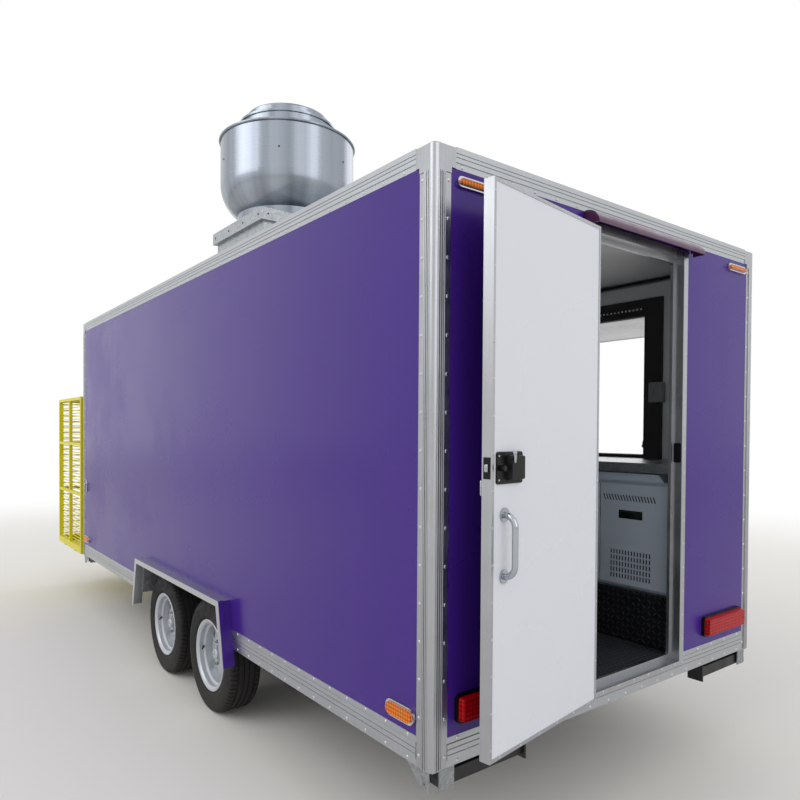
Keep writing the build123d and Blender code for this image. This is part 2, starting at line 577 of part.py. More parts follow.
with BuildPart() as flap_cylinders:
    for x in strut_stations:
        with BuildSketch(strut_plane(x, EYE_RADIUS + 4)):
            Circle(STRUT_RADIUS)
        extrude(amount=CYLINDER_LENGTH - EYE_RADIUS - 4)
        with BuildSketch(strut_plane(x, rod_start - STROKE - EYE_RADIUS)):
            Circle(ROD_RADIUS + RUNNING_GAP)
        extrude(amount=CYLINDER_LENGTH, mode=Mode.SUBTRACT)
        with BuildSketch(strut_plane(x, 0)):
            Rectangle(EYE_WIDTH, EYE_WIDTH)
        extrude(amount=EYE_RADIUS + 6)
        with Locations(Location((x, STRUT_PIVOT_Y, STRUT_PIVOT_Z), (0, 90, 0))):
            Cylinder(EYE_RADIUS, EYE_WIDTH)
            Cylinder(STUD_RADIUS + RUNNING_GAP, 2 * EYE_WIDTH, mode=Mode.SUBTRACT)
keep(flap_cylinders, "flap_cylinders")

with BuildPart() as flap_rods:
    for x in strut_stations:
        with BuildSketch(strut_plane(x, rod_start)):
            Circle(ROD_RADIUS)
        extrude(amount=strut_length - rod_start)
        with Locations(Location((x, STRUT_EYE_Y, STRUT_EYE_Z), (0, 90, 0))):
            Cylinder(EYE_RADIUS, EYE_WIDTH)
keep(flap_rods, "flap_rods")

# Window frame: a flange on the outer skin, a liner through the wall, the struts' studs and the hinge's pin
with BuildPart() as window_frame:
    box_between((WINDOW_REAR - WINDOW_FLANGE, FRAME_FACE_Y, WINDOW_BOTTOM - WINDOW_FLANGE),
                (WINDOW_FRONT + WINDOW_FLANGE, RIGHT_Y + SKIN_INSET, WINDOW_TOP + WINDOW_FLANGE))
    box_between((WINDOW_REAR, RIGHT_Y + SKIN_INSET, WINDOW_BOTTOM), (WINDOW_FRONT, RIGHT_Y + WALL, WINDOW_TOP))
    box_between((WINDOW_REAR + WINDOW_LINER, RIGHT_Y - WALL, WINDOW_BOTTOM + WINDOW_LINER),
                (WINDOW_FRONT - WINDOW_LINER, RIGHT_Y + 2 * WALL, WINDOW_TOP - WINDOW_LINER), Mode.SUBTRACT)
    for x, inward in zip(strut_stations, (1, -1)):
        with BuildSketch(Plane.YZ.offset(x - inward * (STRUT_INSET - WINDOW_LINER / 2))):
            with Locations((STRUT_PIVOT_Y, STRUT_PIVOT_Z)):
                Circle(STUD_RADIUS)
        extrude(amount=inward * (STRUT_INSET - WINDOW_LINER / 2 + EYE_WIDTH / 2))
    box_between((FLAP_REAR, FRAME_FACE_Y - HINGE_PLATE, FLAP_PIN_Z - HINGE_PLATE_LOW),
                (FLAP_FRONT, FRAME_FACE_Y, FLAP_PIN_Z + HINGE_PLATE_HIGH))
    flap_knuckles(0, FRAME_FACE_Y, -FLAP_WEB)
    with BuildSketch(Plane.YZ.offset(FLAP_REAR)):
        with Locations((FLAP_PIN_Y, FLAP_PIN_Z)):
            Circle(FLAP_HINGE_PIN)
    extrude(amount=FLAP_FRONT - FLAP_REAR)
keep(window_frame, "window_frame")

with BuildPart() as flap_brackets:
    for x, inward in zip(strut_stations, (1, -1)):
        face_x = x + inward * (EYE_WIDTH / 2 + RUNNING_GAP)
        end_x = face_x + inward * LUG_PLATE
        box_between((min(face_x, end_x), STRUT_EYE_Y - LUG_HALF, STRUT_EYE_Z - LUG_HALF),
                    (max(face_x, end_x), STRUT_EYE_Y + LUG_HALF, FLAP_PIN_Z + PANEL_RECESS))
keep(flap_brackets, "flap_brackets")

# Wheels
SHOULDER = 25
SHOULDER_DROP = 36
WIDEST_RADIUS = TYRE_RADIUS - 72
with BuildPart() as tyre_round:
    with BuildSketch(Plane.XY):
        half = TYRE_WIDTH / 2
        bead_x = half - BEAD_INSET
        tread_x = half - SHOULDER
        shoulder_low = TYRE_RADIUS - SHOULDER_DROP
        with BuildLine():
            tread = Line((-tread_x, TYRE_RADIUS), (tread_x, TYRE_RADIUS))
            shoulder = ThreePointArc(tread @ 1, (half - 9, TYRE_RADIUS - 10), (half - 4, shoulder_low))
            flank = ThreePointArc(shoulder @ 1, (half, WIDEST_RADIUS), (bead_x, RIM_RADIUS + 1))
            Line(flank @ 1, (bead_x, BEAD_RADIUS + 2))
            Line((bead_x, BEAD_RADIUS + 2), (-bead_x, BEAD_RADIUS + 2))
            Line((-bead_x, BEAD_RADIUS + 2), (-bead_x, RIM_RADIUS + 1))
            other = ThreePointArc((-bead_x, RIM_RADIUS + 1), (-half, WIDEST_RADIUS), (4 - half, shoulder_low))
            ThreePointArc(other @ 1, (9 - half, TYRE_RADIUS - 10), (-tread_x, TYRE_RADIUS))
        make_face()
    revolve(axis=Axis.X)

# Steel rim: a stepped barrel with rolled lips, a dished disc with five windows, and the hub under its cap
RIM_HALF = TYRE_WIDTH / 2 - BEAD_INSET
RIM_LIP = 9
WELL_RADIUS = 172
HUB_RADIUS = 55
CAP_RADIUS = 34
SPINDLE_RADIUS = 20
DISC_PLATE = 6
HUB_FACE = 26
HUB_BACK = -95
RIM_WINDOWS = 5
STEP_X = 50
WELL_X = 42
ROLL_X = RIM_HALF + 5
SEAT_INSIDE = BEAD_RADIUS - 5
WELL_INSIDE = WELL_RADIUS - 5
DISH_RADIUS = 88
DISC_HOLE = HUB_RADIUS - 6
CAP_FACE = HUB_FACE + 32
BORE_DEPTH = 85
with BuildPart() as rim_round:
    with BuildSketch(Plane.XY):
        with BuildLine():
            seat = Polyline((-RIM_HALF, RIM_RADIUS - 5), (-RIM_HALF, BEAD_RADIUS), (-STEP_X, BEAD_RADIUS - 2),
                            (-WELL_X, WELL_RADIUS), (WELL_X, WELL_RADIUS), (STEP_X, BEAD_RADIUS - 2),
                            (RIM_HALF, BEAD_RADIUS), (RIM_HALF, RIM_RADIUS - 5))
            lip = ThreePointArc(seat @ 1, (ROLL_X, RIM_RADIUS - 1), (RIM_HALF + RIM_LIP, RIM_RADIUS - 6))
            barrel = Polyline(lip @ 1, (ROLL_X, RIM_RADIUS - 16), (RIM_HALF - 4, SEAT_INSIDE),
                              (STEP_X + 4, SEAT_INSIDE - 2), (WELL_X + 4, WELL_INSIDE),
                              (-WELL_X - 4, WELL_INSIDE), (-STEP_X - 4, SEAT_INSIDE - 2),
                              (4 - RIM_HALF, SEAT_INSIDE), (-ROLL_X, RIM_RADIUS - 16),
                              (-RIM_HALF - RIM_LIP, RIM_RADIUS - 6))
            ThreePointArc(barrel @ 1, (-ROLL_X, RIM_RADIUS - 1), seat @ 0)
        make_face()
        Polygon((2, WELL_RADIUS - 3), (7, WELL_RADIUS - 14), (HUB_FACE - 3, DISH_RADIUS + 10),
                (HUB_FACE, DISH_RADIUS), (HUB_FACE, DISC_HOLE), (HUB_FACE - DISC_PLATE, DISC_HOLE),
                (HUB_FACE - DISC_PLATE, DISH_RADIUS - 2), (HUB_FACE - DISC_PLATE - 3, DISH_RADIUS + 6),
                (0, WELL_RADIUS - 14), (-5, WELL_RADIUS - 3), align=None)
    revolve(axis=Axis.X)
    with BuildSketch(Plane.YZ.offset(-WELL_X)):
        with PolarLocations(0, RIM_WINDOWS):
            Polygon((118, -8), (156, -27), (156, 27), (118, 8), align=None)
    extrude(amount=2 * WELL_X, mode=Mode.SUBTRACT)
    with BuildSketch(Plane.XY):
        with BuildLine():
            hub = Polyline((HUB_BACK, 0), (HUB_BACK, HUB_RADIUS), (HUB_FACE - DISC_PLATE, HUB_RADIUS),
                           (HUB_FACE - DISC_PLATE, CAP_RADIUS), (CAP_FACE - 8, CAP_RADIUS - 1))
            crown = ThreePointArc(hub @ 1, (CAP_FACE - 2, CAP_RADIUS - 4), (CAP_FACE, CAP_RADIUS - 11))
            Polyline(crown @ 1, (CAP_FACE, 0), (HUB_BACK, 0))
        make_face()
    revolve(axis=Axis.X)
    with BuildSketch(Plane.YZ.offset(HUB_BACK - 1)):
        Circle(SPINDLE_RADIUS + RUNNING_GAP)
    extrude(amount=BORE_DEPTH + 1, mode=Mode.SUBTRACT)

for name, side in SIDES:
    for row, axle_x in AXLES:
        turned = Location((axle_x, CENTRE_Y + side * WHEEL_Y, TYRE_RADIUS), (0, 0, 90 * side))
        for shape, kind in ((tyre_round, "tyre"), (rim_round, "rim")):
            with BuildPart() as placed:
                add(shape.part.moved(turned))
            keep(placed, f"{kind}_{row}_{name}")

# Axles: square beams with round spindles
SPINDLE_TIP = WHEEL_Y + HUB_BACK + BORE_DEPTH - 2
BEAM_END = WHEEL_Y - 110
AXLE_BEAM = 60
with BuildPart() as axles:
    for _, axle_x in AXLES:
        box_between((axle_x - AXLE_BEAM / 2, CENTRE_Y - BEAM_END, TYRE_RADIUS - AXLE_BEAM / 2),
                    (axle_x + AXLE_BEAM / 2, CENTRE_Y + BEAM_END, TYRE_RADIUS + AXLE_BEAM / 2))
        with BuildSketch(Plane.XZ.offset(-(CENTRE_Y - SPINDLE_TIP))):
            with Locations((axle_x, TYRE_RADIUS)):
                Circle(SPINDLE_RADIUS)
        extrude(amount=-2 * SPINDLE_TIP)
keep(axles, "axles")

# Chassis: long rails under the floor, cross members between them and the hangers of the springs
SPRING_WIDTH = 50
SPRING_REACH = 330
HANGER_LENGTH = 100
HANGER_PLATE = 5
HANGER_DROP = 24
LEAF = 8
EYE_Z = CHASSIS_BOTTOM - 24
SPRING_SEAT = TYRE_RADIUS + AXLE_BEAM / 2
with BuildPart() as chassis_rails:
    for _, side in SIDES:
        rail_y = CENTRE_Y + side * CHASSIS_RAIL_Y
        box_between((REAR_X + CHASSIS_SETBACK, rail_y - CHASSIS_RAIL_WIDTH / 2, CHASSIS_BOTTOM),
                    (FRONT_X - CHASSIS_SETBACK, rail_y + CHASSIS_RAIL_WIDTH / 2, CHASSIS_TOP))
        for station in (AXLE_MIDDLE - AXLE_SPREAD / 2 - SPRING_REACH, AXLE_MIDDLE,
                        AXLE_MIDDLE + AXLE_SPREAD / 2 + SPRING_REACH):
            for cheek in (1, -1):
                face = rail_y + cheek * SPRING_WIDTH / 2
                back = face + cheek * HANGER_PLATE
                box_between((station - HANGER_LENGTH / 2, min(face, back), EYE_Z - HANGER_DROP),
                            (station + HANGER_LENGTH / 2, max(face, back), CHASSIS_BOTTOM))
keep(chassis_rails, "chassis_rails")

with BuildPart() as cross_members:
    first = REAR_X + CHASSIS_SETBACK + CROSS_MEMBER_WIDTH / 2
    pitch = (BODY_LENGTH - 2 * CHASSIS_SETBACK - CROSS_MEMBER_WIDTH) / (CROSS_MEMBERS - 1)
    rail_inner = CHASSIS_RAIL_Y - CHASSIS_RAIL_WIDTH / 2
    rail_outer = CHASSIS_RAIL_Y + CHASSIS_RAIL_WIDTH / 2
    for number in range(CROSS_MEMBERS):
        station = first + number * pitch
        spans = [(-rail_inner, rail_inner)]
        if abs(station - AXLE_MIDDLE) > ARCH_FOOT_LENGTH / 2 + CROSS_MEMBER_WIDTH:
            spans += [(rail_outer, BODY_WIDTH / 2 - WALL), (WALL - BODY_WIDTH / 2, -rail_outer)]
        for start, end in spans:
            box_between((station - CROSS_MEMBER_WIDTH / 2, CENTRE_Y + start, CHASSIS_TOP - CROSS_MEMBER_WIDTH),
                        (station + CROSS_MEMBER_WIDTH / 2, CENTRE_Y + end, CHASSIS_TOP))
keep(cross_members, "cross_members")

# Leaf springs
with BuildPart() as leaf_springs:
    for _, side in SIDES:
        middle_y = CENTRE_Y + side * CHASSIS_RAIL_Y
        with BuildSketch(side_plane(middle_y + SPRING_WIDTH / 2)):
            for _, axle_x in AXLES:
                with BuildLine() as spring_line:
                    low = ThreePointArc((axle_x - SPRING_REACH, EYE_Z - LEAF), (axle_x, SPRING_SEAT),
                                        (axle_x + SPRING_REACH, EYE_Z - LEAF))
                    Line(low @ 1, (axle_x + SPRING_REACH, EYE_Z + LEAF))
                    high = ThreePointArc((axle_x + SPRING_REACH, EYE_Z + LEAF),
                                         (axle_x, SPRING_SEAT + 3 * LEAF),
                                         (axle_x - SPRING_REACH, EYE_Z + LEAF))
                    Line(high @ 1, low @ 0)
                make_face()
        extrude(amount=SPRING_WIDTH)
keep(leaf_springs, "leaf_springs")

# Wheel boxes inside the body, surrounds outside it
with BuildPart() as wheel_boxes:
    for _, side in SIDES:
        outer_y = CENTRE_Y + side * BODY_WIDTH / 2
        inner_y = outer_y - side * BOX_DEPTH
        with BuildSketch(side_plane(max(outer_y, inner_y))):
            arch_outline(0)
        extrude(amount=BOX_DEPTH)
        hollow_y = outer_y + WALL if side > 0 else inner_y - BOX_PANEL
        with BuildSketch(side_plane(hollow_y)):
            arch_outline(-BOX_PANEL)
        extrude(amount=BOX_DEPTH - BOX_PANEL + WALL, mode=Mode.SUBTRACT)
    box_between((REAR_X, CENTRE_Y - BODY_WIDTH, BODY_BOTTOM - 2 * ARCH_DROP),
                (FRONT_X, CENTRE_Y + BODY_WIDTH, BODY_BOTTOM), Mode.SUBTRACT)
keep(wheel_boxes, "wheel_boxes")

# Each surround is a purple sheet with an angle trim round its outer edge: near, far, outer and inner margins
TRIM_GROW = ARCH_SHEET + ARCH_TRIM_SHEET
TRIM_BACK = ARCH_REACH - ARCH_TRIM_SHEET
ARCH_RINGS = ((-SKIN_INSET, TRIM_BACK, ARCH_SHEET, 0),
              (ARCH_REACH - ARCH_TRIM_FLANGE, TRIM_BACK, TRIM_GROW, ARCH_SHEET),
              (TRIM_BACK, ARCH_REACH, TRIM_GROW, -ARCH_TRIM))
with BuildPart() as arch_surrounds:
    for _, side in SIDES:
        for near, far, grow, hole in ARCH_RINGS:
            top_y = CENTRE_Y + side * (BODY_WIDTH / 2 + (far if side > 0 else near))
            with BuildSketch(side_plane(top_y)):
                arch_outline(grow)
                arch_outline(hole, Mode.SUBTRACT)
            extrude(amount=far - near)
keep(arch_surrounds, "arch_surrounds")

# Drawbar: two beams that meet at the coupler, and bearers across them
BEAM_SPREAD = CHASSIS_RAIL_Y - 30
BEARER_WIDTH = 60
BEARER_INSET = 40
NOSE_LENGTH = 60
beam_slope = (BEAM_SPREAD - APEX_Y) / (APEX_X - BEAM_REAR)
with BuildPart() as drawbar:
    with BuildSketch(Plane.XY.offset(BEAM_BOTTOM)):
        for _, side in SIDES:
            rear_y = CENTRE_Y + side * BEAM_SPREAD
            apex_y = CENTRE_Y + side * APEX_Y
            Polygon((BEAM_REAR, rear_y - BEAM_WIDTH / 2), (BEAM_REAR, rear_y + BEAM_WIDTH / 2),
                    (APEX_X, apex_y + BEAM_WIDTH / 2), (APEX_X, apex_y - BEAM_WIDTH / 2), align=None)
        with Locations((APEX_X - NOSE_LENGTH / 2, CENTRE_Y)):
            Rectangle(NOSE_LENGTH, 2 * APEX_Y)
    extrude(amount=BEAM_HEIGHT)
    for station in (CAGE_REAR + BEARER_INSET, (CAGE_REAR + CAGE_FRONT) / 2, CAGE_FRONT - BEARER_INSET):
        box_between((station - BEARER_WIDTH / 2, CENTRE_Y - BODY_WIDTH / 2 + WALL, BEAM_TOP),
                    (station + BEARER_WIDTH / 2, CENTRE_Y + BODY_WIDTH / 2 - WALL, CAGE_BOTTOM))
    last_member = FRONT_X - CHASSIS_SETBACK - CROSS_MEMBER_WIDTH / 2
    bearer_half = BEAM_SPREAD - beam_slope * (last_member - BEAM_REAR) + BEAM_WIDTH / 2
    member_half = CROSS_MEMBER_WIDTH / 2
    box_between((last_member - member_half, CENTRE_Y - bearer_half, BEAM_TOP),
                (last_member + member_half, CENTRE_Y + bearer_half, CHASSIS_TOP - CROSS_MEMBER_WIDTH))
keep(drawbar, "drawbar")

# Ball coupler with its socket open downward
SOCKET_RADIUS = 25.4
SOCKET_DEPTH = 46
COUPLER_BOTTOM = BEAM_BOTTOM + 16
COUPLER_HEIGHT = 74
COUPLER_ROUND = 10
NECK_REAR = 55
NECK_FRONT = 40
LATCH_SHAPE = ((14, -4), (10, 16), (-40, 18), (-128, 44), (-130, 36), (-56, -4))
LATCH_WIDTH = 18
with BuildPart() as coupler:
    with BuildSketch(Plane.XY.offset(COUPLER_BOTTOM)):
        with Locations((COUPLER_X, CENTRE_Y)):
            Circle(COUPLER_RADIUS)
        Polygon((APEX_X, CENTRE_Y - NECK_REAR), (COUPLER_X, CENTRE_Y - NECK_FRONT),
                (COUPLER_X, CENTRE_Y + NECK_FRONT), (APEX_X, CENTRE_Y + NECK_REAR), align=None)
    extrude(amount=COUPLER_HEIGHT)
    fillet(coupler.faces().sort_by(Axis.Z)[-1].edges(), COUPLER_ROUND)
    with BuildSketch(Plane.XY.offset(COUPLER_BOTTOM)):
        with Locations((COUPLER_X, CENTRE_Y)):
            Circle(SOCKET_RADIUS)
    extrude(amount=SOCKET_DEPTH, mode=Mode.SUBTRACT)
    latch_z = COUPLER_BOTTOM + COUPLER_HEIGHT
    with BuildSketch(side_plane(CENTRE_Y + LATCH_WIDTH / 2)):
        Polygon(*((COUPLER_X + along, latch_z + up) for along, up in LATCH_SHAPE), align=None)
    extrude(amount=LATCH_WIDTH)
keep(coupler, "coupler")

# Jack with its crank and the jockey wheel it stands on
JACK_TOP = 950
JACK_TUBE_BOTTOM = BEAM_BOTTOM - 24
JACK_INNER_RADIUS = 26
JOCKEY_RADIUS = 100
JOCKEY_WIDTH = 45
JOCKEY_PIN = 8
JOCKEY_HUB = 26
JOCKEY_DISH = 9
JOCKEY_TREAD = 24
FORK_GAP = 6
FORK_PLATE = 6
FORK_HALF = 24
CROWN_PLATE = 8
JACK_PLATE = (120, 150, 8)
COLLAR_HEIGHT = 36
COLLAR_RADIUS = JACK_RADIUS + 9
HEAD_HEIGHT = 50
HEAD_RADIUS = JACK_RADIUS + 7
CRANK_RADIUS = 12
CRANK_RISE = 30
CRANK_REACH = 115
CRANK_ARM = 10
KNOB_RADIUS = 14
KNOB_HEIGHT = 80
jockey_half = JOCKEY_WIDTH / 2 + FORK_GAP
with BuildPart() as jack:
    with BuildSketch(Plane.XY.offset(JACK_TUBE_BOTTOM)):
        with Locations((JACK_X, CENTRE_Y)):
            Circle(JACK_RADIUS)
    extrude(amount=JACK_TOP - JACK_TUBE_BOTTOM)
    with Locations((JACK_X, CENTRE_Y, BEAM_TOP + JACK_PLATE[2] / 2)):
        Box(*JACK_PLATE)
    for low, high, radius in ((BEAM_TOP, BEAM_TOP + COLLAR_HEIGHT, COLLAR_RADIUS),
                              (JACK_TOP - HEAD_HEIGHT, JACK_TOP, HEAD_RADIUS)):
        with BuildSketch(Plane.XY.offset(low)):
            with Locations((JACK_X, CENTRE_Y)):
                Circle(radius)
        extrude(amount=high - low)
    crown = 2 * JOCKEY_RADIUS + FORK_GAP
    with BuildSketch(Plane.XY.offset(crown)):
        with Locations((JACK_X, CENTRE_Y)):
            Circle(JACK_INNER_RADIUS)
    extrude(amount=JACK_TUBE_BOTTOM - crown)
    box_between((JACK_X - FORK_HALF, CENTRE_Y - jockey_half - FORK_PLATE, crown),
                (JACK_X + FORK_HALF, CENTRE_Y + jockey_half + FORK_PLATE, crown + CROWN_PLATE))
    for _, side in SIDES:
        cheek = CENTRE_Y + side * jockey_half
        back = cheek + side * FORK_PLATE
        box_between((JACK_X - FORK_HALF, min(cheek, back), JOCKEY_RADIUS - 2 * JOCKEY_PIN),
                    (JACK_X + FORK_HALF, max(cheek, back), crown))
    with BuildSketch(Plane.XZ.offset(-(CENTRE_Y - jockey_half - FORK_PLATE))):
        with Locations((JACK_X, JOCKEY_RADIUS)):
            Circle(JOCKEY_PIN)
    extrude(amount=-2 * (jockey_half + FORK_PLATE))
    with BuildSketch(Plane.XY.offset(JACK_TOP)):
        with Locations((JACK_X, CENTRE_Y)):
            Circle(CRANK_RADIUS)
    extrude(amount=CRANK_RISE)
    arm_z = JACK_TOP + CRANK_RISE
    box_between((JACK_X - CRANK_RADIUS, CENTRE_Y - CRANK_ARM, arm_z),
                (JACK_X + CRANK_REACH + KNOB_RADIUS, CENTRE_Y + CRANK_ARM, arm_z + CRANK_ARM))
    with BuildSketch(Plane.XY.offset(arm_z + CRANK_ARM)):
        with Locations((JACK_X + CRANK_REACH, CENTRE_Y)):
            Circle(KNOB_RADIUS)
    extrude(amount=KNOB_HEIGHT)
keep(jack, "jack")

with BuildPart() as jockey_wheel:
    with BuildSketch(Plane.XZ.offset(-(CENTRE_Y - JOCKEY_WIDTH / 2))):
        with Locations((JACK_X, JOCKEY_RADIUS)):
            Circle(JOCKEY_RADIUS)
            Circle(JOCKEY_PIN + RUNNING_GAP, mode=Mode.SUBTRACT)
    extrude(amount=-JOCKEY_WIDTH)
    for face_y in (CENTRE_Y - JOCKEY_WIDTH / 2, CENTRE_Y + JOCKEY_WIDTH / 2 - JOCKEY_DISH):
        with BuildSketch(Plane.XZ.offset(-face_y)):
            with Locations((JACK_X, JOCKEY_RADIUS)):
                Circle(JOCKEY_RADIUS - JOCKEY_TREAD)
                Circle(JOCKEY_HUB, mode=Mode.SUBTRACT)
        extrude(amount=-JOCKEY_DISH, mode=Mode.SUBTRACT)
keep(jockey_wheel, "jockey_wheel")

# Stabiliser legs, folded toward the middle under the four corners
LEG_SETBACK = 40
LEG_PIVOT_Y = BODY_WIDTH / 2 - POST_WING
LEG_PIVOT_Z = BODY_BOTTOM - 45
LEG_TUBE = 50
LEG_LENGTH = 400
FOOT_SIDE = 80
FOOT_PLATE = 8
PIVOT_RADIUS = 8
BRACKET_GAP = 6
BRACKET_PLATE = 6
bracket_outer = LEG_TUBE / 2 + BRACKET_GAP + BRACKET_PLATE
LEG_ENDS = (("rear", REAR_X + LEG_SETBACK), ("front", FRONT_X - LEG_SETBACK))
for row, pivot_x in LEG_ENDS:
    for name, side in SIDES:
        pivot_y = CENTRE_Y + side * LEG_PIVOT_Y
        tip_y = pivot_y - side * LEG_LENGTH
        sole_y = tip_y - side * FOOT_PLATE
        back_y = pivot_y + side * LEG_TUBE / 2
        with BuildPart() as leg:
            box_between((pivot_x - LEG_TUBE / 2, min(back_y, tip_y), LEG_PIVOT_Z - LEG_TUBE / 2),
                        (pivot_x + LEG_TUBE / 2, max(back_y, tip_y), LEG_PIVOT_Z + LEG_TUBE / 2))
            box_between((pivot_x - FOOT_SIDE / 2, min(tip_y, sole_y), LEG_PIVOT_Z - FOOT_SIDE / 2),
                        (pivot_x + FOOT_SIDE / 2, max(tip_y, sole_y), LEG_PIVOT_Z + FOOT_SIDE / 2))
            with BuildSketch(Plane.YZ.offset(pivot_x - LEG_TUBE)):
                with Locations((pivot_y, LEG_PIVOT_Z)):
                    Circle(PIVOT_RADIUS + RUNNING_GAP)
            extrude(amount=2 * LEG_TUBE, mode=Mode.SUBTRACT)
        keep(leg, f"stabiliser_{row}_{name}")

# Brackets: two cheeks and a pin, a plate over them and a pierced gusset behind the skirt
GUSSET_PLATE = 4
GUSSET_INSET = 12
GUSSET_DROP = 75
GUSSET_LENGTH = 150
GUSSET_HOLE = 8
GUSSET_OFFSET = 18
GUSSET_FOOT = 46
CHEEK_HALF = 35
CHEEK_DROP = 30
with BuildPart() as stabiliser_brackets:
    for along, (_, pivot_x) in zip((1, -1), LEG_ENDS):
        for _, side in SIDES:
            pivot_y = CENTRE_Y + side * LEG_PIVOT_Y
            gusset_y = CENTRE_Y + side * (BODY_WIDTH / 2 - GUSSET_INSET)
            corner_x = pivot_x - along * (LEG_SETBACK - 3)
            far_x = pivot_x + along * (GUSSET_LENGTH - LEG_SETBACK)
            plate_x = pivot_x + along * (CHASSIS_SETBACK - LEG_SETBACK - 2)
            inner_y = pivot_y - side * CHEEK_HALF
            box_between((min(corner_x, plate_x), min(gusset_y, inner_y), BODY_BOTTOM - GUSSET_PLATE),
                        (max(corner_x, plate_x), max(gusset_y, inner_y), BODY_BOTTOM))
            low_x = corner_x + along * GUSSET_OFFSET
            hole = (low_x + along * GUSSET_FOOT / 2, BODY_BOTTOM - GUSSET_DROP / 2 - GUSSET_INSET)
            with BuildSketch(side_plane(gusset_y + (GUSSET_PLATE if side < 0 else 0))):
                gusset_z = BODY_BOTTOM - GUSSET_DROP
                Polygon((low_x, BODY_BOTTOM), (low_x, gusset_z), (low_x + along * GUSSET_FOOT, gusset_z),
                        (far_x, BODY_BOTTOM), align=None)
                with Locations(hole):
                    Circle(GUSSET_HOLE, mode=Mode.SUBTRACT)
            extrude(amount=GUSSET_PLATE)
            for cheek in (1, -1):
                face = pivot_x + cheek * (LEG_TUBE / 2 + BRACKET_GAP)
                back = face + cheek * BRACKET_PLATE
                box_between((min(face, back), pivot_y - CHEEK_HALF, LEG_PIVOT_Z - CHEEK_DROP),
                            (max(face, back), pivot_y + CHEEK_HALF, BODY_BOTTOM))
            with BuildSketch(Plane.YZ.offset(pivot_x - bracket_outer)):
                with Locations((pivot_y, LEG_PIVOT_Z)):
                    Circle(PIVOT_RADIUS)
            extrude(amount=2 * bracket_outer)
keep(stabiliser_brackets, "stabiliser_brackets")

# Cage: a frame of tubes, slatted panels behind them and two doors at the front
CAGE_DOOR_HALF = BODY_WIDTH / 4
CAGE_LEVELS = (BODY_BOTTOM + 552, BODY_BOTTOM + 1037)
TUBE = CAGE_TUBE
cage_low = CAGE_BOTTOM + CAGE_BEAM
cage_high = CAGE_TOP - TUBE
with BuildPart() as cage_frame:
    for _, side in SIDES:
        outer = CENTRE_Y + side * BODY_WIDTH / 2
        inner = outer - side * TUBE
        for x in (CAGE_REAR, (CAGE_REAR + CAGE_FRONT - TUBE) / 2, CAGE_FRONT - TUBE):
            box_between((x, min(outer, inner), CAGE_BOTTOM), (x + TUBE, max(outer, inner), CAGE_TOP))
        for low, high in ((CAGE_BOTTOM, cage_low), (cage_high, CAGE_TOP),
                          *((level - TUBE / 2, level + TUBE / 2) for level in CAGE_LEVELS)):
            box_between((CAGE_REAR, min(outer, inner), low), (CAGE_FRONT, max(outer, inner), high))
            door_edge_y = CENTRE_Y + side * CAGE_DOOR_HALF
            for x in (CAGE_REAR, CAGE_FRONT - TUBE):
                box_between((x, min(outer, door_edge_y), low), (x + TUBE, max(outer, door_edge_y), high))
        post_y = CENTRE_Y + side * CAGE_DOOR_HALF
        for x in (CAGE_REAR, CAGE_FRONT - TUBE):
            box_between((x, min(post_y, post_y + side * TUBE), CAGE_BOTTOM),
                        (x + TUBE, max(post_y, post_y + side * TUBE), CAGE_TOP))
    for x in (CAGE_REAR, CAGE_FRONT - TUBE):
        for low, high in ((CAGE_BOTTOM, cage_low), (cage_high, CAGE_TOP)):
            box_between((x, CENTRE_Y - CAGE_DOOR_HALF, low), (x + TUBE, CENTRE_Y + CAGE_DOOR_HALF, high))
    for level in CAGE_LEVELS:
        box_between((CAGE_REAR, CENTRE_Y - CAGE_DOOR_HALF, level - TUBE / 2),
                    (CAGE_REAR + TUBE, CENTRE_Y + CAGE_DOOR_HALF, level + TUBE / 2))
    middle = (CAGE_REAR + CAGE_FRONT - TUBE) / 2
    box_between((middle, RIGHT_Y, cage_high), (middle + TUBE, LEFT_Y, CAGE_TOP))
    box_between((CAGE_REAR + TUBE, RIGHT_Y + TUBE, CAGE_BOTTOM),
                (CAGE_FRONT - TUBE, LEFT_Y - TUBE, CAGE_BOTTOM + CAGE_SHEET))
    box_between((CAGE_REAR + TUBE, RIGHT_Y + TUBE, CAGE_TOP - CAGE_SHEET),
                (CAGE_FRONT - TUBE, LEFT_Y - TUBE, CAGE_TOP))
keep(cage_frame, "cage_frame")


def slat_panel(width, height, pitch):
    """Draw slats on their pitch between two end flats, centred in the sketch in progress."""
    gaps = int((height - SLAT_HEIGHT) // pitch)
    Rectangle(width, gaps * pitch + SLAT_HEIGHT)
    with GridLocations(0, pitch, 1, gaps):
        Rectangle(width - 2 * SLAT_HEIGHT, pitch - SLAT_HEIGHT, mode=Mode.SUBTRACT)


panel_height = cage_high - cage_low
end_width = BODY_WIDTH / 2 - CAGE_DOOR_HALF - TUBE
panel_z = (cage_high + cage_low) / 2
with BuildPart() as cage_slats:
    for _, side in SIDES:
        face_y = CENTRE_Y + side * (BODY_WIDTH / 2 - TUBE)
        with BuildSketch(side_plane(max(face_y, face_y - side * SLAT_DEPTH))):
            with Locations(((CAGE_REAR + CAGE_FRONT) / 2, panel_z)):
                slat_panel(CAGE_LENGTH - 2 * TUBE - 3 * SLAT_DEPTH, panel_height, SLAT_PITCH)
        extrude(amount=SLAT_DEPTH)
        with BuildSketch(Plane.YZ.offset(CAGE_FRONT - TUBE - SLAT_DEPTH)):
            with Locations((CENTRE_Y + side * (CAGE_DOOR_HALF + end_width / 2), panel_z)):
                slat_panel(end_width, panel_height, FRONT_SLAT_PITCH)
        extrude(amount=SLAT_DEPTH)
keep(cage_slats, "cage_slats")

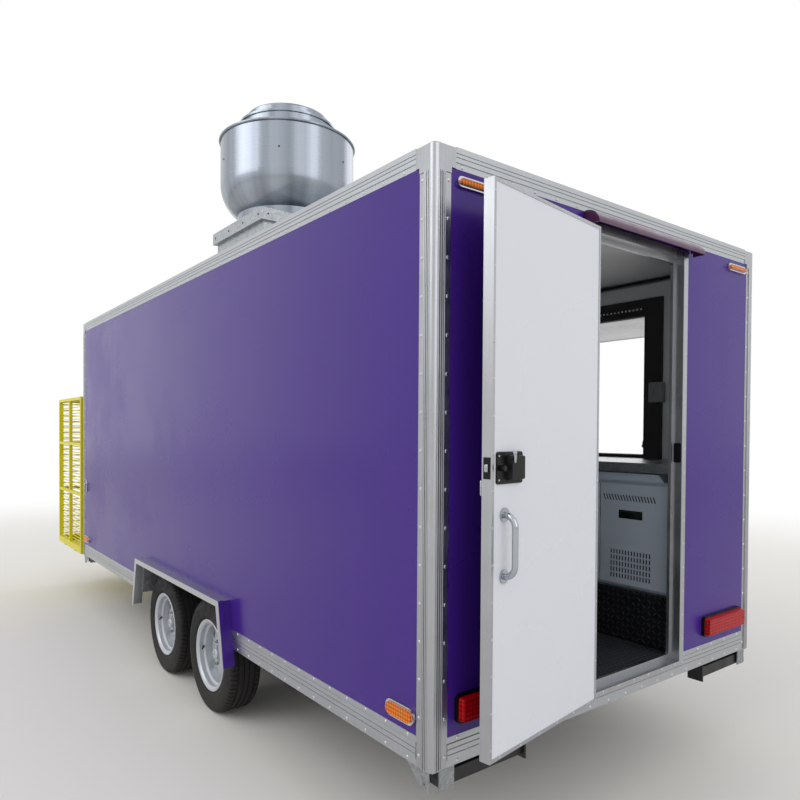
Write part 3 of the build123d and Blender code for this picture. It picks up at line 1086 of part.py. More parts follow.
# Cage doors, each a ring of tube with slats in it
CAGE_PIN_OFFSET = 10
CAGE_HINGES = (cage_low + 200, cage_high - 200)
LEAF_TUBE = 25
LEAF_CLEAR = 5
leaf_low = cage_low + LEAF_CLEAR
leaf_high = cage_high - LEAF_CLEAR
for name, side in SIDES:
    hinge_y = CENTRE_Y + side * (CAGE_DOOR_HALF - LEAF_CLEAR)
    free_y = CENTRE_Y + side * LEAF_CLEAR
    with BuildPart() as leaf:
        box_between((CAGE_FRONT - LEAF_TUBE, min(hinge_y, free_y), leaf_low),
                    (CAGE_FRONT, max(hinge_y, free_y), leaf_high))
        box_between((CAGE_FRONT - 2 * TUBE, min(hinge_y, free_y) + LEAF_TUBE, leaf_low + LEAF_TUBE),
                    (CAGE_FRONT + TUBE, max(hinge_y, free_y) - LEAF_TUBE, leaf_high - LEAF_TUBE), Mode.SUBTRACT)
        for level in CAGE_LEVELS:
            box_between((CAGE_FRONT - LEAF_TUBE, min(hinge_y, free_y), level - LEAF_TUBE / 2),
                        (CAGE_FRONT, max(hinge_y, free_y), level + LEAF_TUBE / 2))
        with BuildSketch(Plane.YZ.offset(CAGE_FRONT - LEAF_TUBE - SLAT_DEPTH)):
            with Locations(((hinge_y + free_y) / 2, panel_z)):
                slat_panel(abs(hinge_y - free_y), panel_height - 2 * LEAF_TUBE, FRONT_SLAT_PITCH)
        extrude(amount=SLAT_DEPTH)
        pin_y = CENTRE_Y + side * CAGE_DOOR_HALF
        for level in CAGE_HINGES:
            with Locations((CAGE_FRONT + CAGE_PIN_OFFSET, pin_y, level)):
                Cylinder(KNUCKLE_RADIUS, KNUCKLE)
            strap_y = pin_y - side * STRAP_WIDTH
            near_y = pin_y - side * (HINGE_PIN + RUNNING_GAP)
            box_between((CAGE_FRONT, min(strap_y, near_y), level - KNUCKLE / 2),
                        (CAGE_FRONT + CAGE_PIN_OFFSET, max(strap_y, near_y), level + KNUCKLE / 2))
            with Locations((CAGE_FRONT + CAGE_PIN_OFFSET, pin_y, level)):
                Cylinder(HINGE_PIN + RUNNING_GAP, 2 * KNUCKLE, mode=Mode.SUBTRACT)
    keep(leaf, f"cage_door_{name}")

with BuildPart() as cage_hinges:
    for _, side in SIDES:
        pin_y = CENTRE_Y + side * CAGE_DOOR_HALF
        for level in CAGE_HINGES:
            with Locations((CAGE_FRONT + CAGE_PIN_OFFSET, pin_y, level)):
                Cylinder(HINGE_PIN, 3 * KNUCKLE)
            for end in (1, -1):
                middle = level + end * KNUCKLE
                low = middle - (KNUCKLE - 2 * KNUCKLE_GAP) / 2
                high = middle + (KNUCKLE - 2 * KNUCKLE_GAP) / 2
                with Locations((CAGE_FRONT + CAGE_PIN_OFFSET, pin_y, middle)):
                    Cylinder(KNUCKLE_RADIUS, high - low)
                plate_y = pin_y + side * STRAP_WIDTH
                box_between((CAGE_FRONT, min(pin_y, plate_y), low),
                            (CAGE_FRONT + CAGE_PIN_OFFSET, max(pin_y, plate_y), high))
keep(cage_hinges, "cage_hinges")

# Exhaust fan: curb on the roof, bowl with a rolled rim, and the motor's drum in it
FAN_BASE = TOP_Z - SKIN_INSET
BOWL_SIDE_LOW = TOP_Z + 475
BOWL_BELLY = (375, TOP_Z + 378)
NECK_TOP = TOP_Z + 296
NECK_FLARE = 10
BOWL_FLOOR = 40
MOTOR_RADIUS = 170
DRUM_LOW = TOP_Z + 700
DRUM_HIGH = TOP_Z + 850
DRUM_LIP = 7
DRUM_BAND = 12
TIER_RADIUS = 248
TIER_HIGH = TOP_Z + 905
TIER_ROUND = 12
DOME_RISE = 10
with BuildPart() as fan_curb:
    for half, low, high in ((CURB_SIDE / 2 - CURB_INSET, FAN_BASE, CURB_TOP - CURB_FLANGE),
                            (CURB_SIDE / 2, CURB_TOP - CURB_FLANGE, CURB_TOP)):
        box_between((FAN_X - half, FAN_Y - half, low), (FAN_X + half, FAN_Y + half, high))
keep(fan_curb, "fan_curb")

fan_axis = Axis((FAN_X, FAN_Y, 0), (0, 0, 1))
fan_plane = Plane(origin=(FAN_X, FAN_Y, 0), x_dir=(1, 0, 0), z_dir=(0, -1, 0))
bowl_inside = BOWL_RADIUS - BOWL_SHELL
with BuildPart() as fan_bowl:
    with BuildSketch(fan_plane):
        with BuildLine():
            neck = Polyline((0, CURB_TOP), (NECK_RADIUS, CURB_TOP), (NECK_RADIUS + NECK_FLARE, NECK_TOP))
            belly = ThreePointArc(neck @ 1, BOWL_BELLY, (BOWL_RADIUS, BOWL_SIDE_LOW))
            Polyline(belly @ 1, (BOWL_RADIUS, BOWL_RIM), (bowl_inside, BOWL_RIM), (bowl_inside, BOWL_SIDE_LOW),
                     (NECK_RADIUS - BOWL_FLOOR, CURB_TOP + BOWL_FLOOR), (0, CURB_TOP + BOWL_FLOOR),
                     (0, CURB_TOP))
        make_face()
        with Locations((BOWL_RADIUS + RIM_ROLL / 2, BOWL_RIM)):
            Circle(RIM_ROLL)
    revolve(axis=fan_axis)
    with BuildSketch(Plane.XY.offset(CURB_TOP + BOWL_FLOOR / 2)):
        with Locations((FAN_X, FAN_Y)):
            Circle(MOTOR_RADIUS)
    extrude(amount=DRUM_LOW - CURB_TOP - BOWL_FLOOR / 2)
keep(fan_bowl, "fan_bowl")

lip_radius = DRUM_RADIUS + DRUM_LIP
with BuildPart() as fan_cap:
    with BuildSketch(fan_plane):
        with BuildLine():
            drum = Polyline((0, DRUM_LOW), (lip_radius, DRUM_LOW), (lip_radius, DRUM_LOW + DRUM_BAND),
                            (DRUM_RADIUS, DRUM_LOW + DRUM_BAND), (DRUM_RADIUS, DRUM_HIGH - DRUM_BAND),
                            (lip_radius, DRUM_HIGH - DRUM_BAND), (lip_radius, DRUM_HIGH),
                            (TIER_RADIUS, DRUM_HIGH), (TIER_RADIUS, TIER_HIGH - TIER_ROUND))
            dome = ThreePointArc(drum @ 1, (TIER_RADIUS - TIER_ROUND / 3, TIER_HIGH - TIER_ROUND / 3),
                                 (TIER_RADIUS - TIER_ROUND, TIER_HIGH))
            Polyline(dome @ 1, (0, TIER_HIGH + DOME_RISE), (0, DRUM_LOW))
        make_face()
    revolve(axis=fan_axis)
keep(fan_cap, "fan_cap")


def rear_plane(x):
    """Give the plane of a rear face, seen from behind: its own x runs to the right and its own y runs up."""
    return Plane(origin=(x, 0, 0), x_dir=(0, -1, 0), z_dir=(-1, 0, 0))


# Tail lamps: rounded black housings and tapered lenses
LAMP_LOW = BODY_BOTTOM + 147
LAMP_HEIGHT = 102
LAMP_FAR = BODY_WIDTH / 2 - 114
LAMP_LENGTH = 386
LAMP_CORNER = 20
LAMP_HOUSING = 12
LENS_MARGIN = 7
LENS_PROUD = 25
LENS_TAPER = 12
LENS_LENGTH = LAMP_LENGTH - 2 * LENS_MARGIN
LENS_HEIGHT = LAMP_HEIGHT - 2 * LENS_MARGIN
lamp_z = LAMP_LOW + LAMP_HEIGHT / 2
lamp_places = [(-CENTRE_Y - side * (LAMP_FAR - LAMP_LENGTH / 2), lamp_z) for _, side in SIDES]
with BuildPart() as tail_lamp_housings:
    with BuildSketch(rear_plane(REAR_X + SKIN_INSET)):
        with Locations(*lamp_places):
            RectangleRounded(LAMP_LENGTH, LAMP_HEIGHT, LAMP_CORNER)
    extrude(amount=SKIN_INSET + LAMP_HOUSING)
keep(tail_lamp_housings, "tail_lamp_housings")

with BuildPart() as tail_lamp_lenses:
    with BuildSketch(rear_plane(REAR_X - LAMP_HOUSING)):
        with Locations(*lamp_places):
            RectangleRounded(LENS_LENGTH, LENS_HEIGHT, LAMP_CORNER - LENS_MARGIN)
    extrude(amount=LENS_PROUD, taper=LENS_TAPER)
keep(tail_lamp_lenses, "tail_lamp_lenses")

# Marker lamps: a long rounded base with a smaller raised lens
MARKER_BASE = 8
MARKER_PROUD = 16
MARKER_MARGIN = 9
REAR_MARKER = (187, 37)
SIDE_MARKER = (167, 62)
REAR_MARKER_Y = BODY_WIDTH / 2 - 197
REAR_MARKER_Z = TOP_Z - 117
SIDE_MARKER_INSET = 166
SIDE_MARKER_Z = BODY_BOTTOM + 165
with BuildPart() as marker_lamps:
    for margin, proud in ((0, MARKER_BASE), (MARKER_MARGIN, MARKER_PROUD)):
        for _, side in SIDES:
            with BuildSketch(rear_plane(REAR_X + SKIN_INSET)):
                with Locations((-(CENTRE_Y + side * REAR_MARKER_Y), REAR_MARKER_Z)):
                    SlotOverall(REAR_MARKER[0] - 2 * margin, REAR_MARKER[1] - 2 * margin)
            extrude(amount=SKIN_INSET + proud)
            face = proud if side > 0 else -SKIN_INSET
            with BuildSketch(side_plane(CENTRE_Y + side * (BODY_WIDTH / 2 + face))):
                with Locations((REAR_X + SIDE_MARKER_INSET, SIDE_MARKER_Z),
                               (FRONT_X - SIDE_MARKER_INSET, SIDE_MARKER_Z)):
                    SlotOverall(SIDE_MARKER[0] - 2 * margin, SIDE_MARKER[1] - 2 * margin)
            extrude(amount=SKIN_INSET + proud)
keep(marker_lamps, "marker_lamps")

# Inside: a liner round the serving window, counters, fridge and its platform
LINER_DEPTH = WINDOW_FRAME_DEPTH
LINER_RISE = 106
ROOM_RIGHT = RIGHT_Y + WALL
ROOM_LEFT = LEFT_Y - WALL
ROOM_REAR = REAR_X + WALL
PLATFORM_REAR = ROOM_REAR + 5
PLATFORM_DEPTH = 650
PLATFORM_FRONT = ROOM_RIGHT + PLATFORM_DEPTH
PLATFORM_TOP = BODY_BOTTOM + 360
PLATFORM_LENGTH = 1425
COUNTER_LOW = BODY_BOTTOM + 975
COUNTER_TOP = BODY_BOTTOM + 1025
COUNTER_FRONT = WINDOW_FRONT + 480
with BuildPart() as window_liner:
    box_between((WINDOW_REAR - WINDOW_FRAME, ROOM_RIGHT, COUNTER_TOP),
                (WINDOW_FRONT + WINDOW_FRAME, ROOM_RIGHT + LINER_DEPTH, WINDOW_TOP + LINER_RISE))
    box_between((WINDOW_REAR, ROOM_RIGHT - WALL, WINDOW_BOTTOM),
                (WINDOW_FRONT, ROOM_RIGHT + WALL, WINDOW_TOP), Mode.SUBTRACT)
keep(window_liner, "window_liner")

with BuildPart() as platform:
    box_between((PLATFORM_REAR, ROOM_RIGHT, FLOOR_TOP),
                (PLATFORM_REAR + PLATFORM_LENGTH, PLATFORM_FRONT, PLATFORM_TOP))
keep(platform, "platform")

# Counter fridge: a cabinet with a vented compressor panel and two doors, under a worktop
FRIDGE_REAR = REAR_X + 75
FRIDGE_LENGTH = 1390
FRIDGE_FRONT = PLATFORM_FRONT - 15
FRIDGE_DOOR = 20
FRIDGE_BACK = ROOM_RIGHT + 20
VENT_DEPTH = 4
FRIDGE_LOW = BODY_BOTTOM + 378
FRIDGE_HIGH = BODY_BOTTOM + 908
WORKTOP_LOW = BODY_BOTTOM + 929
WORKTOP_HIGH = BODY_BOTTOM + 968
FRIDGE_PANELS = ((0, 405), (413, 895), (903, 1390))
GRID_COLUMNS = 14
GRID_ROWS = 5
GRID_CENTRE = 222
GRID_RISE = 106
GRID_PITCH = (17.5, 31.5)
GRID_SLOT = (8, 24)
DISPLAY_RISE = 372
DISPLAY = (142, 45)
SLANTED_SLOTS = 18
SLANT_START = 75
SLANT_PITCH = 17.4
SLANT_DROP = 87
SLANT_WIDTH = 8
SLANT_HEIGHT = 31
SLANT_LEAN = 12
WORKTOP_SET = 32
with BuildPart() as fridge:
    body_face = FRIDGE_FRONT - FRIDGE_DOOR
    box_between((FRIDGE_REAR, FRIDGE_BACK, PLATFORM_TOP), (FRIDGE_REAR + FRIDGE_LENGTH, body_face, WORKTOP_LOW))
    for start, end in FRIDGE_PANELS:
        box_between((FRIDGE_REAR + start, body_face, FRIDGE_LOW),
                    (FRIDGE_REAR + end, FRIDGE_FRONT, FRIDGE_HIGH))
    with BuildSketch(side_plane(FRIDGE_FRONT)):
        Polygon((FRIDGE_REAR + WORKTOP_SET, WORKTOP_LOW), (FRIDGE_REAR + FRIDGE_LENGTH, WORKTOP_LOW),
                (FRIDGE_REAR + FRIDGE_LENGTH, WORKTOP_HIGH), (FRIDGE_REAR + 2 * WORKTOP_SET, WORKTOP_HIGH),
                align=None)
    extrude(amount=FRIDGE_FRONT - FRIDGE_BACK)
    with BuildSketch(side_plane(FRIDGE_FRONT)):
        with Locations((FRIDGE_REAR + GRID_CENTRE, FRIDGE_LOW + GRID_RISE)):
            with GridLocations(*GRID_PITCH, GRID_COLUMNS, GRID_ROWS):
                Rectangle(*GRID_SLOT)
        with Locations((FRIDGE_REAR + GRID_CENTRE, FRIDGE_LOW + DISPLAY_RISE)):
            Rectangle(*DISPLAY)
        for number in range(SLANTED_SLOTS):
            foot = FRIDGE_REAR + SLANT_START + number * SLANT_PITCH
            low = FRIDGE_HIGH - SLANT_DROP
            high = low + SLANT_HEIGHT
            Polygon((foot, low), (foot + SLANT_WIDTH, low), (foot + SLANT_WIDTH + SLANT_LEAN, high),
                    (foot + SLANT_LEAN, high), align=None)
    extrude(amount=VENT_DEPTH, mode=Mode.SUBTRACT)
keep(fridge, "fridge")

# Serving counter on the right, worktable on the left
TABLE_DEPTH = 600
TABLE_HALF = 1350
TABLE_TOP = BODY_BOTTOM + 940
TABLE_PANEL = 40
SHELF_LOW = BODY_BOTTOM + 400
SHELF = 30
SPLASH = 20
CABINET_GAP = 80
TOE_KICK = 60
with BuildPart() as serving_counter:
    cabinet_rear = PLATFORM_REAR + PLATFORM_LENGTH + CABINET_GAP
    box_between((PLATFORM_REAR, ROOM_RIGHT, COUNTER_LOW), (COUNTER_FRONT, PLATFORM_FRONT + 5, COUNTER_TOP))
    box_between((cabinet_rear, ROOM_RIGHT, PLATFORM_TOP), (COUNTER_FRONT, FRIDGE_FRONT, COUNTER_LOW))
    box_between((cabinet_rear, ROOM_RIGHT + BOX_DEPTH, FLOOR_TOP),
                (COUNTER_FRONT, PLATFORM_FRONT - TOE_KICK, PLATFORM_TOP))
    box_between((AXLE_MIDDLE - TABLE_HALF, ROOM_LEFT - TABLE_DEPTH, TABLE_TOP - TABLE_PANEL),
                (AXLE_MIDDLE + TABLE_HALF, ROOM_LEFT, TABLE_TOP))
    box_between((AXLE_MIDDLE - TABLE_HALF, ROOM_LEFT - SPLASH, TABLE_TOP),
                (AXLE_MIDDLE + TABLE_HALF, ROOM_LEFT, TABLE_TOP + 5 * SPLASH))
    box_between((AXLE_MIDDLE - TABLE_HALF, ROOM_LEFT - TABLE_DEPTH + TABLE_PANEL, SHELF_LOW),
                (AXLE_MIDDLE + TABLE_HALF, ROOM_LEFT, SHELF_LOW + SHELF))
    for end_x in (AXLE_MIDDLE - TABLE_HALF, AXLE_MIDDLE + TABLE_HALF - TABLE_PANEL):
        box_between((end_x, ROOM_LEFT - TABLE_DEPTH + TABLE_PANEL, FLOOR_TOP),
                    (end_x + TABLE_PANEL, ROOM_LEFT, TABLE_TOP - TABLE_PANEL))
keep(serving_counter, "serving_counter")

# Exhaust hood over the worktable, under the fan
HOOD_HALF = 700
HOOD_LOW = TOP_Z - 370
HOOD_LIP = 60
HOOD_SLOPE = 350
HOOD_SHELL = 12
ROOM_TOP = TOP_Z - WALL
with BuildPart() as exhaust_hood:
    with BuildSketch(Plane.YZ.offset(FAN_X - HOOD_HALF)):
        Polygon((ROOM_LEFT, HOOD_LOW), (ROOM_LEFT, ROOM_TOP), (ROOM_LEFT - HOOD_SLOPE, ROOM_TOP),
                (ROOM_LEFT - TABLE_DEPTH, HOOD_LOW + HOOD_LIP), (ROOM_LEFT - TABLE_DEPTH, HOOD_LOW), align=None)
    extrude(amount=2 * HOOD_HALF)
    with BuildSketch(Plane.YZ.offset(FAN_X - HOOD_HALF + HOOD_SHELL)):
        lip_y = ROOM_LEFT - TABLE_DEPTH + HOOD_SHELL
        Polygon((ROOM_LEFT - HOOD_SHELL, HOOD_LOW), (ROOM_LEFT - HOOD_SHELL, ROOM_TOP - HOOD_SHELL),
                (ROOM_LEFT - HOOD_SLOPE, ROOM_TOP - HOOD_SHELL), (lip_y, HOOD_LOW + HOOD_LIP),
                (lip_y, HOOD_LOW), align=None)
    extrude(amount=2 * (HOOD_HALF - HOOD_SHELL), mode=Mode.SUBTRACT)
keep(exhaust_hood, "exhaust_hood")
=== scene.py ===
"""Food trailer with tandem axles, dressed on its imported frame.

The frame is in metres: X runs forward to the coupler, Y to the left side, Z up. The classes hold their
sizes in millimetres, unless a comment says otherwise, and these turn to metres where a shape is made.
"""
import logging
import math
from dataclasses import dataclass, field
from enum import Enum
from functools import reduce
from typing import Any, Iterable, Iterator

import bmesh
import bpy
from mathutils import Matrix, Vector


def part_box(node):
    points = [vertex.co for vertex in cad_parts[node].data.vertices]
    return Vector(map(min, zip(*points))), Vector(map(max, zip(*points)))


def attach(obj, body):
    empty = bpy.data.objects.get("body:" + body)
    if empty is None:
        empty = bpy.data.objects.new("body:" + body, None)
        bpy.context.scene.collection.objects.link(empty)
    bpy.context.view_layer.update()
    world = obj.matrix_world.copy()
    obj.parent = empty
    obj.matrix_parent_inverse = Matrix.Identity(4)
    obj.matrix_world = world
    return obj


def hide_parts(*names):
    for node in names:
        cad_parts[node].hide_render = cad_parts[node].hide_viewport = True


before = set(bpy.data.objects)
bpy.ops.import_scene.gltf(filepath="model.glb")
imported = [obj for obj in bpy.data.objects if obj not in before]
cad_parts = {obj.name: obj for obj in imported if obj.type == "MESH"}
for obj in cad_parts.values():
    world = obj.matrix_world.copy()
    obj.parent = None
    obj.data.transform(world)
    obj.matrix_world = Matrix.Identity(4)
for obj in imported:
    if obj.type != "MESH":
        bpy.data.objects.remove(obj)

LOG = logging.getLogger("food_trailer")
MM = 0.001
SHARP_ANGLE = math.radians(35)
UP = Vector((0, 0, 1))

Tree = bpy.types.NodeTree
Node = bpy.types.Node
Socket = bpy.types.NodeSocket
Outputs = bpy.types.bpy_prop_collection
Links = dict[str | int, Socket | float | tuple]
Mesh = bmesh.types.BMesh
Pair = tuple[float, float]
Triple = tuple[float, float, float]


# Small helpers


def linear(hex_code: str) -> tuple[float, float, float, float]:
    """Turn an sRGB hex colour into linear light.

    Args:
        hex_code: six hex digits, with or without a leading hash.

    Returns:
        Red, green, blue and alpha, each from 0 to 1.
    """
    digits = hex_code.lstrip("#")
    channels = [int(digits[i:i + 2], 16) / 255 for i in (0, 2, 4)]
    spread = [c / 12.92 if c <= 0.04045 else ((c + 0.055) / 1.055) ** 2.4 for c in channels]
    return (spread[0], spread[1], spread[2], 1.0)


def add_node(tree: Tree, kind: str, links: Links | None = None, **settings: Any) -> Outputs:
    """Add a shader node with its settings, and link or set its inputs.

    Args:
        tree: the node tree that gets the node.
        kind: the node's type after "ShaderNode", such as "Bump".
        links: input name or number to the socket that feeds it, or to its plain value.
        settings: attributes of the node.

    Returns:
        The node's outputs, by name or number.
    """
    made = tree.nodes.new("ShaderNode" + kind)
    for key, value in settings.items():
        setattr(made, key, value)
    for key, value in (links or {}).items():
        if isinstance(value, bpy.types.NodeSocket):
            tree.links.new(value, made.inputs[key])
        else:
            made.inputs[key].default_value = value
    return made.outputs


def per_metre(size: float) -> float:
    """Give a pattern's scale: how many times its size in millimetres goes into a metre."""
    return 1 / (size * MM)


def patches(place: Socket, size: float, detail: float = 2.0) -> Links:
    """Give the inputs of a noise whose patches are about a size in millimetres."""
    return {"Vector": place, "Scale": per_metre(size), "Detail": detail}


class Slot(Enum):
    """The record's material slots, by name."""

    ALUMINIUM = "extrusion"
    ZINC = "galvanised"
    STAINLESS = "stainless"
    PLASTIC = "black_plastic"
    TRIM = "dark_trim"
    STEEL = "black_steel"
    TYRE = "tyre_rubber"
    CHROME = "chrome_rod"
    LENS = "lamp_lens"


class Side(Enum):
    """The two long sides of the trailer."""

    LEFT = 1
    RIGHT = -1

    @property
    def out(self) -> Vector:
        """Give the direction that leads out of the trailer on this side."""
        return Vector((0, self.value, 0))


@dataclass(frozen=True)
class BoxBody:
    """Where the closed body stands; its places are counted from its rear face, middle plane and underside."""

    low: Vector
    high: Vector

    @property
    def length(self) -> float:
        """Give the body's length in millimetres."""
        return (self.high.x - self.low.x) / MM

    @property
    def half_width(self) -> float:
        """Give half of the body's width in millimetres."""
        return (self.high.y - self.low.y) / 2 / MM

    @property
    def height(self) -> float:
        """Give the body's height in millimetres."""
        return (self.high.z - self.low.z) / MM

    @property
    def middle(self) -> float:
        """Give the place of the body's middle plane in metres."""
        return (self.low.y + self.high.y) / 2

    @property
    def ends(self) -> tuple[tuple[float, int], ...]:
        """Give the places of the rear and front faces, each with the way that leads into the body."""
        return ((0.0, 1), (self.length, -1))

    def at(self, along: float, across: float, up: float) -> Vector:
        """Give a point of the frame.

        Args:
            along: millimetres forward of the rear face.
            across: millimetres to the left of the middle plane.
            up: millimetres above the underside.

        Returns:
            The point, in metres.
        """
        return Vector((self.low.x + along * MM, self.middle + across * MM, self.low.z + up * MM))

    def mount(self, along: float, across: float, up: float) -> Matrix:
        """Give the matrix that moves a shape to a point of the frame, from the same counts."""
        return Matrix.Translation(self.at(along, across, up))


def new_piece(name: str, bm: Mesh, finish: "Finish", body: str) -> bpy.types.Object:
    """Turn a finished bmesh into an object that rides on a body, shaded smooth by angle.

    Args:
        name: the piece's name.
        bm: the mesh being built; it is freed here.
        finish: its finish.
        body: the body that carries it.

    Returns:
        The new object, at the origin.
    """
    mesh = bpy.data.meshes.new(name)
    bm.to_mesh(mesh)
    bm.free()
    mesh.materials.append(finish.material())
    mesh.shade_smooth()
    mesh.set_sharp_from_angle(angle=SHARP_ANGLE)
    piece = bpy.data.objects.new(name, mesh)
    bpy.context.scene.collection.objects.link(piece)
    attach(piece, body)
    LOG.info("%s: %d faces", name, len(mesh.polygons))
    return piece


def bevel_edges(bm: Mesh, edges: Iterable[bmesh.types.BMEdge], width: float, segments: int) -> None:
    """Round edges of a bmesh by a width in metres, in a number of segments."""
    bmesh.ops.bevel(bm, geom=list(edges), offset=width, offset_type="OFFSET", segments=segments, profile=0.5,
                    affect="EDGES", clamp_overlap=True, material=-1)


def join(bm: Mesh, part: Mesh, place: Matrix) -> None:
    """Put a part, which is freed here, into a bmesh at its place."""
    part.transform(place)
    shape = bpy.data.meshes.new("part")
    part.to_mesh(shape)
    part.free()
    bm.from_mesh(shape)
    bpy.data.meshes.remove(shape)


@dataclass(frozen=True)
class Block:
    """A block with rounded corners, in millimetres about its own place.

    The corners run along one axis (0, 1 or 2), and the edges of its two end faces are eased.
    """

    low: Triple
    high: Triple
    axis: int
    corner: float
    edge: float = 0.0

    def shape(self) -> Mesh:
        """Give the block as a bmesh of its own, in metres."""
        bm = bmesh.new()
        low, high = Vector(self.low) * MM, Vector(self.high) * MM
        bmesh.ops.create_cube(bm, size=1, matrix=Matrix.Translation((low + high) / 2)
                              @ Matrix.Diagonal((*(high - low), 1)))
        along = [e for e in bm.edges if abs((e.verts[0].co - e.verts[1].co).normalized()[self.axis]) > 0.9]
        bevel_edges(bm, along, self.corner * MM, 4)
        if self.edge:
            ends = [f for f in bm.faces if abs(f.normal[self.axis]) > 0.9]
            bevel_edges(bm, {e for f in ends for e in f.edges}, self.edge * MM, 2)
        return bm

    def add(self, bm: Mesh, place: Matrix) -> None:
        """Put the block into a bmesh at its place."""
        join(bm, self.shape(), place)


def facing(place: Vector, direction: Vector) -> Matrix:
    """Give the matrix that stands a shape on a place with its Z along a direction."""
    return Matrix.Translation(place) @ direction.to_track_quat("Z", "Y").to_matrix().to_4x4()


def add_dome(bm: Mesh, place: Vector, direction: Vector, size: Pair) -> None:
    """Add a low domed head, half sunk into what it sits on.

    Args:
        bm: the mesh being built.
        place: the middle of its foot.
        direction: the way it faces.
        size: its radius, and how far it stands out.
    """
    radius, height = (value * MM for value in size)
    bmesh.ops.create_uvsphere(bm, u_segments=8, v_segments=4, radius=1,
                              matrix=facing(place, direction) @ Matrix.Diagonal((radius, radius, height, 1)))


def add_hex_head(bm: Mesh, place: Vector, direction: Vector, size: Pair) -> None:
    """Add a hexagonal head on a round flange, with its top edge eased.

    Args:
        bm: the mesh being built.
        place: the middle of its foot.
        direction: the way it faces.
        size: its size across the corners, and how far it stands out.
    """
    across, height = (value * MM for value in size)
    stand = facing(place, direction)
    bmesh.ops.create_cone(bm, cap_ends=True, segments=16, radius1=across * 0.62, radius2=across * 0.56,
                          depth=height / 2, matrix=stand)
    head = bmesh.new()
    bmesh.ops.create_cone(head, cap_ends=True, segments=6, radius1=across / 2, radius2=across / 2,
                          depth=height, matrix=Matrix.Translation((0, 0, height / 2)))
    top = max(head.faces, key=lambda face: face.calc_center_median().z)
    bevel_edges(head, top.edges, across * 0.08, 1)
    join(bm, head, stand)


def add_rod(bm: Mesh, start: Vector, end: Vector, radius: float, tip: float | None = None,
            segments: int = 12) -> None:
    """Add a round rod or taper between two points.

    Args:
        bm: the mesh being built.
        start: the middle of one end.
        end: the middle of the other end.
        radius: its radius at the start, in millimetres.
        tip: its radius at the end, if it tapers.
        segments: how many faces go round it.
    """
    run = end - start
    bmesh.ops.create_cone(bm, cap_ends=True, segments=segments, radius1=radius * MM,
                          radius2=(radius if tip is None else tip) * MM, depth=run.length,
                          matrix=facing((start + end) / 2, run))


# Finishes


@dataclass(frozen=True)
class Finish:
    """A surface with one colour and gloss; the finishes below add what the real surface shows."""

    name: str
    colour: str
    roughness: float = 0.4
    metallic: float = 0.0
    specular: float = 0.5

    def material(self) -> bpy.types.Material:
        """Build the material once, and give the same one each time it is asked for."""
        known = bpy.data.materials.get(self.name)
        if known:
            return known
        made = bpy.data.materials.new(self.name)
        made.use_nodes = True
        shader = made.node_tree.nodes["Principled BSDF"]
        for socket, value in (("Base Color", linear(self.colour)), ("Roughness", self.roughness),
                              ("Metallic", self.metallic), ("Specular IOR Level", self.specular)):
            shader.inputs[socket].default_value = value
        self.pattern(made.node_tree, shader)
        return made

    def pattern(self, tree: Tree, shader: Node) -> None:
        """Add what the real surface shows beyond one even colour."""

    def shades(self, share: float) -> tuple[tuple, tuple]:
        """Give the colour and a darker shade of it, by how far it darkens."""
        full = linear(self.colour)
        return full, tuple(c * (1 - share) for c in full[:3]) + (1.0,)

    def tint(self, tree: Tree, shader: Node, factor: Socket, low: Socket | tuple,
             high: Socket | tuple) -> None:
        """Colour the surface between two colours, by a factor from 0 to 1."""
        mixed = add_node(tree, "Mix", {0: factor, 6: low, 7: high}, data_type="RGBA")[2]
        tree.links.new(mixed, shader.inputs["Base Color"])

    def gloss(self, tree: Tree, shader: Node, factor: Socket, low: float = 0.8, high: float = 1.25) -> None:
        """Vary the roughness about its own value, softly, by a factor from 0 to 1."""
        rough = add_node(tree, "MapRange", {0: factor, 1: 0.25, 2: 0.75, 3: self.roughness * low,
                                            4: min(1.0, self.roughness * high)},
                         interpolation_type="SMOOTHSTEP")
        tree.links.new(rough[0], shader.inputs["Roughness"])

    def relief(self, tree: Tree, shader: Node, height: Socket, depth: float,
               under: Socket | None = None) -> Socket:
        """Bump the surface by a height from 0 to 1, over another bump if one is given."""
        links: Links = {"Height": height, "Strength": 1.0, "Distance": depth * MM}
        if under is not None:
            links["Normal"] = under
        bump = add_node(tree, "Bump", links)["Normal"]
        tree.links.new(bump, shader.inputs["Normal"])
        return bump


@dataclass(frozen=True)
class HalfSpace:
    """One side of a plane: the points whose reach along a direction is more than a distance in metres."""

    direction: Triple
    distance: float

    def test(self, tree: Tree, place: Socket) -> Socket:
        """Give 1 inside the half space and 0 outside it."""
        reach = add_node(tree, "VectorMath", {0: place, 1: self.direction}, operation="DOT_PRODUCT")["Value"]
        return add_node(tree, "Math", {0: reach, 1: self.distance}, operation="GREATER_THAN")[0]


def inside_all(tree: Tree, place: Socket, spaces: Iterable[HalfSpace]) -> Socket:
    """Give 1 where a point is in every one of the half spaces, and 0 elsewhere."""
    tests = [space.test(tree, place) for space in spaces]
    return reduce(lambda one, two: add_node(tree, "Math", {0: one, 1: two}, operation="MULTIPLY")[0], tests)


def box_sides(low: Triple, high: Triple) -> tuple[HalfSpace, ...]:
    """Give the half spaces of a box in metres, without the sides that are infinitely far."""
    sides = []
    for axis in range(3):
        for sign, limit in ((1, low[axis]), (-1, high[axis])):
            if math.isfinite(limit):
                direction = tuple(sign if number == axis else 0 for number in range(3))
                sides.append(HalfSpace(direction, sign * limit))
    return tuple(sides)


